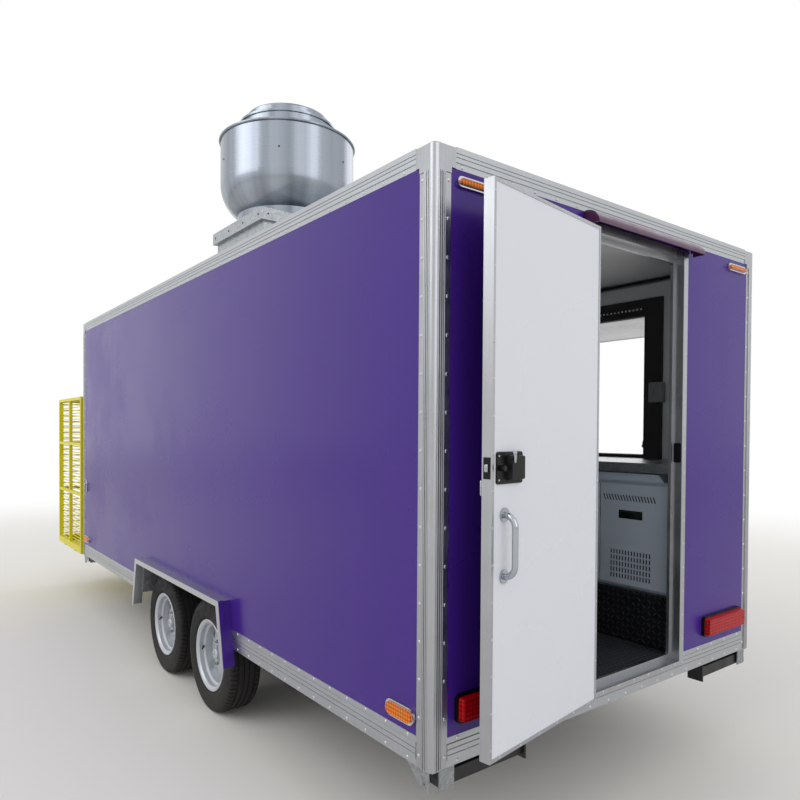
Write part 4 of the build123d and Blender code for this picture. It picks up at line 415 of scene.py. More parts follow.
@dataclass(frozen=True)
class PressedSkin(Finish):
    """Pre-painted sheet pressed on a foam core: glossy, with slow waves that bend its reflections."""

    wave: Pair = (420.0, 0.35)
    peel: Pair = (6.0, 0.004)
    film: float = 640.0
    share: float = 0.12

    def pattern(self, tree: Tree, shader: Node) -> None:
        """Add slow waves, a fine orange peel and a trace of road film."""
        place = add_node(tree, "TexCoord")["Object"]
        bump = None
        for size, depth in (self.wave, self.peel):
            noise = add_node(tree, "TexNoise", patches(place, size, 1.0))["Fac"]
            bump = self.relief(tree, shader, noise, depth, bump)
        film = add_node(tree, "TexNoise", patches(place, self.film, 4.0))["Fac"]
        self.gloss(tree, shader, film, 0.75, 1.35)
        self.paint(tree, shader, place, film)

    def paint(self, tree: Tree, shader: Node, place: Socket, film: Socket) -> None:
        """Colour the sheet, a shade darker where the film lies."""
        full, dark = self.shades(self.share)
        self.tint(tree, shader, film, dark, full)


@dataclass(frozen=True)
class TwoFacedSkin(PressedSkin):
    """A panel's two skins: one colour outside, and white on the faces that look into the cabin."""

    inner_colour: str = "#DDE0E2"
    inner: tuple[HalfSpace, ...] = ()

    def paint(self, tree: Tree, shader: Node, place: Socket, film: Socket) -> None:
        """Paint what lies in all the inner half spaces in the inner colour."""
        super().paint(tree, shader, place, film)
        outer = shader.inputs["Base Color"].links[0].from_socket
        self.tint(tree, shader, inside_all(tree, place, self.inner), outer, linear(self.inner_colour))


@dataclass(frozen=True)
class TrimmedSheet(PressedSkin):
    """Aluminium sheet and angle, bare but for a painted reflection of the purple wall on the outer sides of
    their two legs.
    """

    trim_colour: str = "#C2C5C9"
    trim_roughness: float = 0.34
    middle: float = 0.0
    reach: float = 1.0
    legs: tuple[HalfSpace, ...] = ()

    def paint(self, tree: Tree, shader: Node, place: Socket, film: Socket) -> None:
        """Leave the metal bare within the legs, and beyond a reach in metres from the middle plane; elsewhere
        paint the wall's purple reflection.
        """
        across = add_node(tree, "SeparateXYZ", {0: place})["Y"]
        offset = add_node(tree, "Math", {0: across, 1: self.middle}, operation="SUBTRACT")[0]
        away = add_node(tree, "Math", {0: offset}, operation="ABSOLUTE")[0]
        beyond = add_node(tree, "Math", {0: away, 1: self.reach}, operation="GREATER_THAN")[0]
        tests = {number: leg.test(tree, place) for number, leg in enumerate(self.legs)}
        outside = add_node(tree, "Math", tests, operation="MAXIMUM")[0]
        within = add_node(tree, "Math", {0: 1.0, 1: outside}, operation="SUBTRACT")[0]
        bare = add_node(tree, "Math", {0: beyond, 1: within}, operation="MAXIMUM")[0]
        # Outside the legs and within the reach, the purple is a painted reflection of the wall.
        self.tint(tree, shader, bare, linear(self.colour), linear(self.trim_colour))
        tree.links.new(bare, shader.inputs["Metallic"])
        rough = add_node(tree, "MapRange", {0: bare, 1: 0.0, 2: 1.0, 3: self.roughness,
                                            4: self.trim_roughness})
        tree.links.new(rough[0], shader.inputs["Roughness"])


@dataclass(frozen=True)
class DrawnMetal(Finish):
    """Extruded or brushed metal: fine lines along one axis, which stretch its highlights across them."""

    grain: Triple = (1.0, 60.0, 60.0)
    line: float = 1.2
    streak: float = 9.0
    mark: float = 160.0
    depth: float = 0.02
    share: float = 0.22

    def pattern(self, tree: Tree, shader: Node) -> None:
        """Add fine drawn lines, broad streaks along them and dull handling marks."""
        place = add_node(tree, "TexCoord")["Object"]
        spread = add_node(tree, "Mapping", {"Vector": place, "Scale": self.grain})[0]
        lines, streaks = (add_node(tree, "TexNoise", patches(spread, size * max(self.grain)))["Fac"]
                          for size in (self.line, self.streak))
        marks = add_node(tree, "TexNoise", patches(place, self.mark, 4.0))["Fac"]
        wear_and_highlight = []
        for drawn in (lines, streaks):
            both = add_node(tree, "Math", {0: drawn, 1: marks}, operation="ADD")[0]
            wear_and_highlight.append(add_node(tree, "Math", {0: both, 1: 0.5}, operation="MULTIPLY")[0])
        self.gloss(tree, shader, wear_and_highlight[0], 0.75, 1.4)
        full, dark = self.shades(self.share)
        self.tint(tree, shader, wear_and_highlight[1], dark, full)
        self.relief(tree, shader, lines, self.depth)


@dataclass(frozen=True)
class VentedSteel(DrawnMetal):
    """A brushed front with punched vents, filled with painted shade behind its face."""

    # The colour of the painted shade in the vents
    dark: str = "#121417"
    vents: tuple[HalfSpace, ...] = ()

    def pattern(self, tree: Tree, shader: Node) -> None:
        """Brush the steel, and paint shade into what lies inside the vents."""
        super().pattern(tree, shader)
        brushed = shader.inputs["Base Color"].links[0].from_socket
        inside = inside_all(tree, add_node(tree, "TexCoord")["Object"], self.vents)
        self.tint(tree, shader, inside, brushed, linear(self.dark))


@dataclass(frozen=True)
class SpunMetal(Finish):
    """Aluminium spun on a lathe: rings round an upright axis, and broad streaks of painted reflection up its
    side.
    """

    centre: Pair = (0.0, 0.0)
    ring: float = 2.5
    depth: float = 0.035
    share: float = 0.5

    def pattern(self, tree: Tree, shader: Node) -> None:
        """Add rings by height and radius, and streaks of painted reflection round the axis."""
        place = add_node(tree, "TexCoord")["Object"]
        moved = add_node(tree, "Mapping", {"Vector": place,
                                           "Location": (-self.centre[0], -self.centre[1], 0)})[0]
        parts = add_node(tree, "SeparateXYZ", {0: moved})
        flat = add_node(tree, "CombineXYZ", {0: parts["X"], 1: parts["Y"], 2: 0.0})[0]
        radius = add_node(tree, "VectorMath", {0: flat}, operation="LENGTH")["Value"]
        profile = add_node(tree, "Math", {0: parts["Z"], 1: radius}, operation="ADD")[0]
        rings = add_node(tree, "TexNoise", {"W": profile, "Scale": per_metre(self.ring), "Detail": 2.0},
                         noise_dimensions="1D")["Fac"]
        # The streaks round the axis are painted reflections: they darken the colour by the share.
        around = add_node(tree, "VectorMath", {0: flat}, operation="NORMALIZE")[0]
        streaks = add_node(tree, "TexNoise", {"Vector": around, "Scale": 2.6, "Detail": 3.0})["Fac"]
        painted_reflection_streaks = add_node(tree, "MapRange", {0: streaks, 1: 0.32, 2: 0.68, 3: 0.0, 4: 1.0})[0]
        self.gloss(tree, shader, rings, 0.7, 1.35)
        full, dark = self.shades(self.share)
        self.tint(tree, shader, painted_reflection_streaks, dark, full)
        self.relief(tree, shader, rings, self.depth)


@dataclass(frozen=True)
class ZincDipped(Finish):
    """Hot-dipped zinc: flat crystals about a centimetre across, each at its own shade."""

    crystal: float = 12.0
    share: float = 0.3
    ripple: Pair = (22.0, 0.06)

    def pattern(self, tree: Tree, shader: Node) -> None:
        """Add the crystals to colour and roughness, over slow ripples."""
        place = add_node(tree, "TexCoord")["Object"]
        cells = add_node(tree, "TexVoronoi", {"Vector": place, "Scale": per_metre(self.crystal)})
        shade = add_node(tree, "SeparateColor", {0: cells["Color"]})
        full, dark = self.shades(self.share)
        self.tint(tree, shader, shade[0], dark, full)
        self.gloss(tree, shader, shade[1], 0.75, 1.3)
        size, depth = self.ripple
        self.relief(tree, shader, add_node(tree, "TexNoise", patches(place, size))["Fac"], depth)


@dataclass(frozen=True)
class TreadPlate(Finish):
    """Rolled tread plate: raised bars on a square grid, each lying crosswise to its neighbours."""

    pitch: float = 30.0
    bar: Pair = (0.46, 0.13)
    depth: float = 1.6
    painted_highlight_gain: float = 5.0

    def pattern(self, tree: Tree, shader: Node) -> None:
        """Raise the bars on whichever two axes the face lies along, and paint a highlight on their tops, broken
        by noise.
        """
        sources = add_node(tree, "TexCoord")
        place = sources["Object"]
        parts = add_node(tree, "SeparateXYZ", {0: place})
        normal = add_node(tree, "SeparateXYZ", {0: sources["Normal"]})
        cells: list[Socket] = []
        offsets: list[Socket] = []
        for axis in ("X", "Z"):
            size = add_node(tree, "Math", {0: normal[axis]}, operation="ABSOLUTE")[0]
            square_on = add_node(tree, "Math", {0: size, 1: 0.7}, operation="GREATER_THAN")[0]
            source = add_node(tree, "Mix", {0: square_on, 2: parts[axis], 3: parts["Y"]})[0]
            scaled = add_node(tree, "Math", {0: source, 1: per_metre(self.pitch)}, operation="MULTIPLY")[0]
            cells.append(add_node(tree, "Math", {0: scaled}, operation="FLOOR")[0])
            share = add_node(tree, "Math", {0: scaled, 1: cells[-1]}, operation="SUBTRACT")[0]
            offsets.append(add_node(tree, "Math", {0: share, 1: 0.5}, operation="SUBTRACT")[0])
        both = add_node(tree, "Math", {0: cells[0], 1: cells[1]}, operation="ADD")[0]
        parity = add_node(tree, "Math", {0: both, 1: 2.0}, operation="FLOORED_MODULO")[0]
        lean = add_node(tree, "Math", {0: parity, 1: 2.0, 2: -1.0}, operation="MULTIPLY_ADD")[0]
        leaning = add_node(tree, "Math", {0: offsets[1], 1: lean}, operation="MULTIPLY")[0]
        squares = []
        for operation, reach in zip(("ADD", "SUBTRACT"), self.bar):
            way = add_node(tree, "Math", {0: offsets[0], 1: leaning}, operation=operation)[0]
            part = add_node(tree, "Math", {0: way, 1: reach * math.sqrt(2)}, operation="DIVIDE")[0]
            squares.append(add_node(tree, "Math", {0: part, 1: part}, operation="MULTIPLY")[0])
        oval = add_node(tree, "Math", {0: squares[0], 1: squares[1]}, operation="ADD")[0]
        top = add_node(tree, "MapRange", {0: oval, 1: 0.55, 2: 1.05, 3: 1.0, 4: 0.0})[0]
        self.relief(tree, shader, top, self.depth)
        # Painted highlight: the bar tops, broken by noise, are lightened by the highlight gain.
        highlight_breakup = add_node(tree, "TexNoise", patches(place, 60.0))["Fac"]
        wear_and_highlight = add_node(tree, "Math", {0: top, 1: highlight_breakup}, operation="MULTIPLY")[0]
        full = linear(self.colour)
        self.tint(tree, shader, wear_and_highlight, full, tuple(min(1.0, c * self.painted_highlight_gain) for c in full[:3]) + (1.0,))
        self.gloss(tree, shader, add_node(tree, "TexNoise", patches(place, 120.0, 4.0))["Fac"])


@dataclass(frozen=True)
class BrokenSurface(Finish):
    """Paint, moulded plastic or rubber: soft blotches of shade and gloss over a light grain."""

    blotch: float = 90.0
    share: float = 0.25
    grain: float = 4.0
    bump: float = 0.03

    def pattern(self, tree: Tree, shader: Node) -> None:
        """Add the blotches and the grain."""
        place = add_node(tree, "TexCoord")["Object"]
        blotches = add_node(tree, "TexNoise", patches(place, self.blotch, 4.0))["Fac"]
        full, dark = self.shades(self.share)
        self.tint(tree, shader, blotches, dark, full)
        self.gloss(tree, shader, blotches)
        self.relief(tree, shader, add_node(tree, "TexNoise", patches(place, self.grain))["Fac"], self.bump)


@dataclass(frozen=True)
class DustyRubber(Finish):
    """Tyre rubber with a thin film of road dust, more of it low on the wall; the levels are in metres."""

    dust: str = "#625A50"
    levels: Pair = (0.02, 0.377)
    film: Pair = (0.3, 0.05)
    pore: Pair = (2.5, 0.12)

    def pattern(self, tree: Tree, shader: Node) -> None:
        """Mix a little dust into the rubber by height and by noise."""
        place = add_node(tree, "TexCoord")["Object"]
        height = add_node(tree, "SeparateXYZ", {0: place})["Z"]
        low = add_node(tree, "MapRange", {0: height, 1: self.levels[0], 2: self.levels[1], 3: self.film[0],
                                          4: self.film[1]})[0]
        cloud = add_node(tree, "TexNoise", patches(place, 45.0, 5.0))["Fac"]
        dusty = add_node(tree, "MapRange", {0: cloud, 1: 0.38, 2: 0.72, 3: 0.15, 4: 1.0})[0]
        cover = add_node(tree, "Math", {0: low, 1: dusty}, operation="MULTIPLY")[0]
        self.tint(tree, shader, cover, linear(self.colour), linear(self.dust))
        self.gloss(tree, shader, dusty, 0.9, 1.15)
        size, depth = self.pore
        self.relief(tree, shader, add_node(tree, "TexNoise", patches(place, size))["Fac"], depth)


@dataclass(frozen=True)
class FacetedLens(Finish):
    """A moulded lamp lens: rows of small bright facets behind a clear glossy face."""

    facet: Pair = (15.0, 16.0)
    depth: float = 1.2
    share: float = 0.62
    bezel: str = ""
    walls: tuple[HalfSpace, ...] = ()

    def pattern(self, tree: Tree, shader: Node) -> None:
        """Add bright spots on a grid with dark joints, and a chromed base where a lamp has one."""
        place = add_node(tree, "TexCoord")["Object"]
        parts = add_node(tree, "SeparateXYZ", {0: place})
        along = add_node(tree, "Math", {0: parts["X"], 1: parts["Y"]}, operation="ADD")[0]
        waves = []
        for source, size in zip((along, parts["Z"]), self.facet):
            scaled = add_node(tree, "Math", {0: source, 1: per_metre(size)}, operation="MULTIPLY")[0]
            waves.append(add_node(tree, "Math", {0: scaled, 1: 0.5}, operation="PINGPONG")[0])
        peak = add_node(tree, "Math", {0: waves[0], 1: waves[1]}, operation="ADD")[0]
        spot = add_node(tree, "MapRange", {0: peak, 1: 0.25, 2: 0.85, 3: 0.0, 4: 1.0})[0]
        full, dark = self.shades(self.share)
        self.tint(tree, shader, spot, dark, full)
        self.relief(tree, shader, peak, self.depth)
        if self.bezel:
            lens = shader.inputs["Base Color"].links[0].from_socket
            base = inside_all(tree, place, self.walls)
            self.tint(tree, shader, base, lens, linear(self.bezel))
            tree.links.new(base, shader.inputs["Metallic"])


@dataclass(frozen=True)
class PaintEdges:
    """Where one finish of a node gives way to another."""

    body: BoxBody
    wall: float = 46.0
    lamp_base: float = 8.5
    arch_middle: float = 2452.0
    arch_corner: Pair = (750.0, 252.0)
    arch_slope: Pair = (337.0, 70.0)
    arch_skin: float = 2.0
    vents_low: Triple = (135.0, -12.0, 385.0)
    vents_high: Triple = (475.0, -1.5, 900.0)

    def room(self) -> tuple[HalfSpace, ...]:
        """Give the space within the walls, which is white."""
        low, high, wall = self.body.low, self.body.high, self.wall * MM
        return box_sides((low.x + wall, low.y + wall, -math.inf), (high.x - wall, high.y - wall, math.inf))

    def lamp_bases(self) -> tuple[HalfSpace, ...]:
        """Give the thin layer over the walls that the marker lamps' chromed bases fill."""
        low, high, base = self.body.low, self.body.high, self.lamp_base * MM
        return box_sides((low.x - base, low.y - base, -math.inf), (math.inf, high.y + base, math.inf))

    def arch_legs(self) -> tuple[HalfSpace, ...]:
        """Give the spaces outside the sloping legs of the arch surrounds."""
        run, rise = self.arch_slope
        legs = []
        for way in (1, -1):
            slope = Vector((way * run, 0.0, rise)).normalized()
            corner = self.body.at(self.arch_middle + way * self.arch_corner[0], 0, self.arch_corner[1])
            legs.append(HalfSpace(tuple(slope), slope.dot(corner) + self.arch_skin * MM))
        return tuple(legs)

    def fridge_vents(self) -> tuple[HalfSpace, ...]:
        """Give the space behind the fridge's front that its vents open into, where shade is painted."""
        face = (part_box("fridge")[1].y - self.body.middle) / MM
        low, high = (self.body.at(along, face + across, up)
                     for along, across, up in (self.vents_low, self.vents_high))
        return box_sides(tuple(low), tuple(high))


@dataclass(frozen=True)
class Palette:
    """All the finishes of the trailer, some of them placed by its sizes."""

    purple: Finish
    flap_skin: Finish
    door_skin: Finish
    arch_sheet: Finish
    roof_skin: Finish
    extrusion_x: Finish
    extrusion_z: Finish
    hood: Finish
    black_plastic: Finish
    grey_plastic: Finish
    dark_trim: Finish
    zinc: Finish
    stainless: Finish
    black_steel: Finish
    rubber: Finish
    wheel_silver: Finish
    cage_yellow: Finish
    spun: Finish
    curb_sheet: Finish
    red_lens: Finish
    amber_lens: Finish
    white_lens: Finish
    tread_plate: Finish
    fridge_steel: Finish
    floor_plate: Finish
    chrome: Finish
    solid_rubber: Finish
    rivet: Finish
    display: Finish


PURPLE = "#3F1F82"
ARCH_TRIM = 62.0


def trailer_palette(body: BoxBody, leaf: "DoorLeaf") -> Palette:
    """Choose every finish, with the sizes that place its pattern.

    Args:
        body: where the closed body stands.
        leaf: where the open door stands.

    Returns:
        The palette.
    """
    edges = PaintEdges(body)
    bowl_low, bowl_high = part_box("fan_bowl")
    flap_low, flap_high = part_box("flap_panel")
    return Palette(
        # Coil-painted sheet: deep purple, glossy enough for a soft sheen that waves along the wall
        purple=TwoFacedSkin("purple_coil_painted_sheet", PURPLE, roughness=0.24, specular=0.3,
                            inner=edges.room()),
        # The same sheet on the flap, white where it looks down over the counter
        flap_skin=TwoFacedSkin("purple_flap_sheet", PURPLE, roughness=0.24, specular=0.3,
                               inner=(HalfSpace((0, 0, -1), -(flap_low.z + flap_high.z) / 2),)),
        # The same sheet on the door, white on its inner face, greyed and blued with painted shade, and with a
        # low sheen
        door_skin=TwoFacedSkin("purple_and_white_door_sheet", PURPLE, roughness=0.26, specular=0.4,
                               inner_colour="#D3D6DE", inner=(leaf.inner_half(),)),
        # Folded aluminium sheet: bright bare edges round cheeks coloured with a painted purple reflection of
        # the wall
        arch_sheet=TrimmedSheet("purple_arch_sheet", PURPLE, roughness=0.24, specular=0.3, middle=body.middle,
                                reach=(body.half_width + ARCH_TRIM) * MM, legs=edges.arch_legs()),
        # White painted roof sheet: pale and dull, with slow waves
        roof_skin=PressedSkin("white_roof_sheet", "#D0D3D5", roughness=0.4),
        # Extruded aluminium, mill finish: pale grey with streaks along the section
        extrusion_x=DrawnMetal("extruded_aluminium_lengthwise", "#BEC1C5", roughness=0.33, metallic=1.0),
        # The same metal in the upright sections, with stronger light and dark streaks
        extrusion_z=DrawnMetal("extruded_aluminium_upright", "#BBBDC1", roughness=0.3, metallic=1.0,
                               grain=(60.0, 60.0, 1.0), share=0.3),
        # Painted sheet: a dull dark wine red with soft blotches
        hood=BrokenSurface("painted_hood_sheet", "#4E2347", roughness=0.34, specular=0.4),
        # Moulded plastic: near black with a soft low sheen
        black_plastic=BrokenSurface("moulded_black_plastic", "#0C0C0F", roughness=0.36, share=0.3,
                                    specular=0.25),
        # Moulded plastic: an even mid grey
        grey_plastic=BrokenSurface("moulded_grey_plastic", "#8C8F92", roughness=0.45, share=0.12),
        # Dark anodised aluminium: satin brown-black
        dark_trim=BrokenSurface("anodised_dark_trim", "#2B292C", roughness=0.42),
        # Hot-dipped zinc: dull grey with flat crystals
        zinc=ZincDipped("hot_dipped_zinc", "#A3A7AA", roughness=0.45, metallic=0.85),
        # Brushed stainless steel: soft grey with highlights stretched across the brushing
        stainless=DrawnMetal("brushed_stainless_steel", "#AEB1B5", roughness=0.28, metallic=1.0),
        # Painted steel: dull black with an uneven skin
        black_steel=BrokenSurface("black_painted_steel", "#151517", roughness=0.46, share=0.35, grain=6.0),
        # Tyre rubber: matt black with brown-grey dust low on the wall
        rubber=DustyRubber("dusty_tyre_rubber", "#161618", roughness=0.74, specular=0.35),
        # Silver wheel paint: pale grey with a fine metallic sheen
        wheel_silver=BrokenSurface("silver_wheel_paint", "#C4C8CE", roughness=0.34, metallic=0.4, share=0.2),
        # Powder coat: strong lemon yellow, slightly uneven in gloss
        cage_yellow=BrokenSurface("yellow_powder_coat", "#DDD20E", roughness=0.4, share=0.14, specular=0.4),
        # Spun aluminium: rings of the lathe, and upright streaks of painted reflection
        spun=SpunMetal("lathe_spun_aluminium", "#A6AEB9", roughness=0.24, metallic=1.0,
                       centre=tuple(((bowl_low + bowl_high) / 2)[:2])),
        # Galvanised sheet: small pale crystals
        curb_sheet=ZincDipped("galvanised_curb_sheet", "#B4B9BD", roughness=0.4, metallic=0.8, crystal=9.0),
        # Moulded lens: deep red, with a grid of facets behind a glossy face
        red_lens=FacetedLens("red_lamp_lens", "#C60A12", roughness=0.2, specular=0.16),
        # Moulded lens: orange facets in a chromed rim
        amber_lens=FacetedLens("amber_lens_in_chromed_base", "#F5800C", roughness=0.2, specular=0.25,
                               facet=(14.0, 14.0), bezel="#C9CBCF", walls=edges.lamp_bases()),
        # White lens: an even warm white
        white_lens=BrokenSurface("white_lamp_lens", "#F2F2EE", roughness=0.3, share=0.04),
        # Rolled tread plate, painted black: a painted highlight on the tops of its bars
        tread_plate=TreadPlate("black_tread_plate", "#232528", roughness=0.3, metallic=0.5),
        # Brushed refrigerator steel: pale grey with a blue cast of painted sky light, and painted shade in its
        # vents
        fridge_steel=VentedSteel("brushed_fridge_steel", "#C4D0DF", roughness=0.4, metallic=0.3, share=0.14,
                                 vents=edges.fridge_vents()),
        # The floor's tread plate: greyer and duller underfoot, with the same painted highlight on its bar tops
        floor_plate=TreadPlate("dark_floor_plate", "#3A3D42", roughness=0.42, metallic=0.5),
        # Chrome plate: mirror bright, with hardly a mark
        chrome=DrawnMetal("chromed_steel", "#B2B6BC", roughness=0.1, metallic=1.0, depth=0.002, share=0.06),
        # Moulded solid rubber: matt black
        solid_rubber=BrokenSurface("moulded_solid_rubber", "#161617", roughness=0.7, share=0.3),
        # Aluminium rivet heads: small bright domes, each at its own shade
        rivet=BrokenSurface("aluminium_rivet_head", "#C6C9CD", roughness=0.3, metallic=1.0, share=0.15,
                            blotch=140.0),
        # Display glass: black and glossy
        display=BrokenSurface("dark_display_glass", "#0A0B0D", roughness=0.12, share=0.2),
    )


# Pieces


@dataclass
class FrameDressing:
    """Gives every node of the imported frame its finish, by the node's name or the start of it."""

    palette: Palette
    finishes: dict[str, str] = field(default_factory=lambda: {
        "arch_surrounds": "arch_sheet", "axles": "black_steel", "body_rails": "extrusion_x",
        "cage": "cage_yellow", "chassis_rails": "black_steel", "corner_posts": "extrusion_z", "coupler": "zinc",
        "cross_members": "black_steel", "door_edge": "extrusion_z", "door_frame": "extrusion_z",
        "door_handle": "chrome", "door_hinges": "extrusion_z", "door_lock": "black_plastic",
        "door_panel": "door_skin", "drawbar": "black_steel", "exhaust_hood": "stainless", "fan_bowl": "spun",
        "fan_cap": "spun", "fan_curb": "curb_sheet", "flap_brackets": "zinc", "flap_cylinders": "black_steel",
        "flap_edge": "extrusion_x", "flap_panel": "flap_skin", "flap_rods": "chrome",
        "floor_panel": "floor_plate", "fridge": "fridge_steel", "jack": "zinc", "jockey_wheel": "solid_rubber",
        "leaf_springs": "black_steel",
        "marker_lamps": "amber_lens", "platform": "tread_plate", "rain_hood": "hood", "rim": "wheel_silver",
        "roof_panel": "roof_skin", "serving_counter": "stainless", "stabiliser": "black_steel",
        "stabiliser_brackets": "zinc", "tail_lamp_housings": "black_plastic", "tail_lamp_lenses": "red_lens",
        "tyre": "rubber", "wall": "purple", "wheel_boxes": "zinc", "window_frame": "extrusion_x",
        "window_liner": "dark_trim",
    })

    def dress(self) -> None:
        """Put the finishes on the nodes, each by the longest name that fits."""
        for name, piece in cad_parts.items():
            key = max((key for key in self.finishes if f"{name}_".startswith(f"{key}_")), key=len)
            finish: Finish = getattr(self.palette, self.finishes[key])
            for slot in piece.material_slots:
                slot.material = finish.material()
        LOG.info("frame: %d nodes dressed", len(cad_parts))


@dataclass(frozen=True)
class Rivet:
    """A domed rivet head: its radius and height, and the distance to the next one."""

    size: Pair = (7.6, 3.6)
    pitch: float = 130.0

    def row(self, bm: Mesh, start: Vector, end: Vector, direction: Vector) -> None:
        """Set rivets evenly from one point to another.

        Args:
            bm: the mesh being built.
            start: the first rivet's place.
            end: the last rivet's place.
            direction: the way the heads face.
        """
        gaps = max(1, round((end - start).length / MM / self.pitch))
        for number in range(gaps + 1):
            add_dome(bm, start.lerp(end, number / gaps), direction, self.size)


@dataclass
class BodyRivets:
    """The rivets along the body's aluminium sections, the posts' ribs and the strips over the roof."""

    body: BoxBody
    palette: Palette
    rivet: Rivet = Rivet()
    sunk: float = 3.0
    post_line: float = 67.0
    post_span: Pair = (40.0, 2050.0)
    ribs: tuple[float, ...] = (24.5, 33.5, 43.0, 51.0)
    rib_radius: float = 2.6
    rib_span: Pair = (3.0, 2072.0)
    rail_lines: Pair = (12.0, 93.0)
    rail_end: float = 130.0
    arch: Pair = (1590.0, 3314.0)
    top_line: float = 64.0
    top_end: float = 170.0
    roof_line: float = 40.0
    flange_rivet: Rivet = Rivet((5.0, 2.4), 118.0)
    flange_face: float = -12.0
    flange_across: Pair = (-443.0, 360.0)
    flange_up: Pair = (66.0, 2024.0)
    flange_clear: float = 40.0
    sill_end: float = 60.0
    roof_joints: tuple[float, ...] = (1272.0, 2545.0, 3818.0)
    strip_end: float = 84.0
    strip_up: Pair = (2165.0, 2168.5)
    strip_rivet: Rivet = Rivet((4.5, 1.4), 110.0)

    def build(self) -> None:
        """Build the rivets of the whole body, the posts' ribs and the roof's strips."""
        self.post_ribs()
        bm = bmesh.new()
        for along, across, out in self.post_lines(self.post_line, self.sunk):
            self.rivet.row(bm, *(self.body.at(along, across, up) for up in self.post_span), out)
        self.side_rails(bm)
        self.end_rails(bm)
        self.door_flange(bm)
        new_piece("body_rivets", bm, self.palette.rivet, "trailer")
        self.roof_strips()

    def post_lines(self, line: float, sunk: float) -> Iterator[tuple[float, float, Vector]]:
        """Give an upright line on both faces of each post.

        Args:
            line: how far it is from the post's outer corner.
            sunk: how far it is below the face.

        Returns:
            The line's places along and across, and the way that its face looks, eight times.
        """
        half = self.body.half_width
        for side in Side:
            for end, inward in self.body.ends:
                yield end + inward * line, side.value * (half - sunk), side.out
                yield end + inward * sunk, side.value * (half - line), Vector((-inward, 0, 0))

    def post_ribs(self) -> None:
        """Run round ribs up both faces of the posts, between the grooves of the section."""
        bm = bmesh.new()
        for line in self.ribs:
            for along, across, _ in self.post_lines(line, 0.0):
                start, end = (self.body.at(along, across, up) for up in self.rib_span)
                add_rod(bm, start, end, self.rib_radius, segments=10)
        new_piece("post_ribs", bm, self.palette.extrusion_z, "trailer")

    def side_rails(self, bm: Mesh) -> None:
        """Rivet the rails along both sides, and the edges of the roof."""
        body = self.body
        runs = ((self.rail_end, self.arch[0]), (self.arch[1], body.length - self.rail_end))
        top = (self.top_end, body.length - self.top_end)
        for side in Side:
            wall = side.value * (body.half_width - self.sunk)
            rows = [(run, wall, line, side.out) for line in self.rail_lines for run in runs]
            rows.append((top, wall, body.height - self.top_line, side.out))
            rows.append((top, side.value * (body.half_width - self.roof_line), body.height - 1, UP))
            for run, across, up, out in rows:
                self.rivet.row(bm, *(body.at(along, across, up) for along in run), out)

    def end_rails(self, bm: Mesh) -> None:
        """Rivet the rails across the rear and the front."""
        body, edge = self.body, self.body.half_width - self.rail_end
        low, high = self.rail_lines
        doorway = [across + way * self.flange_clear for across, way in zip(self.flange_across, (-1, 1))]
        for end, inward in body.ends:
            runs = [(low, -edge, edge), (body.height - self.top_line, -edge, edge)]
            beside = [(high, -edge, doorway[0]), (high, doorway[1], edge)]
            runs += beside if inward > 0 else [(high, -edge, edge)]
            for up, *run in runs:
                self.rivet.row(bm, *(body.at(end + inward * self.sunk, across, up) for across in run),
                               Vector((-inward, 0, 0)))

    def door_flange(self, bm: Mesh) -> None:
        """Rivet the flange round the doorway with smaller heads."""
        (right, left), (low, high), out = self.flange_across, self.flange_up, Vector((-1, 0, 0))
        for start, end in (((right, low), (right, high)), ((left, low), (left, high)),
                           ((right + self.sill_end, low), (left - self.sill_end, low))):
            places = (self.body.at(self.flange_face, *place) for place in (start, end))
            self.flange_rivet.row(bm, *places, out)

    def roof_strips(self) -> None:
        """Lay flat riveted strips over the joints of the roof sheets."""
        low, high = self.strip_up
        edge = self.body.half_width - self.strip_end
        strips, heads = bmesh.new(), bmesh.new()
        strip = Block((-30, -edge, low), (30, edge, high), 2, 3, 1)
        for joint in self.roof_joints:
            strip.add(strips, self.body.mount(joint, 0, 0))
            for offset in (-20, 20):
                self.strip_rivet.row(heads, *(self.body.at(joint + offset, across, high)
                                              for across in (30 - edge, edge - 30)), UP)
        new_piece("roof_joint_strips", strips, self.palette.extrusion_x, "trailer")
        new_piece("roof_rivets", heads, self.palette.rivet, "trailer")


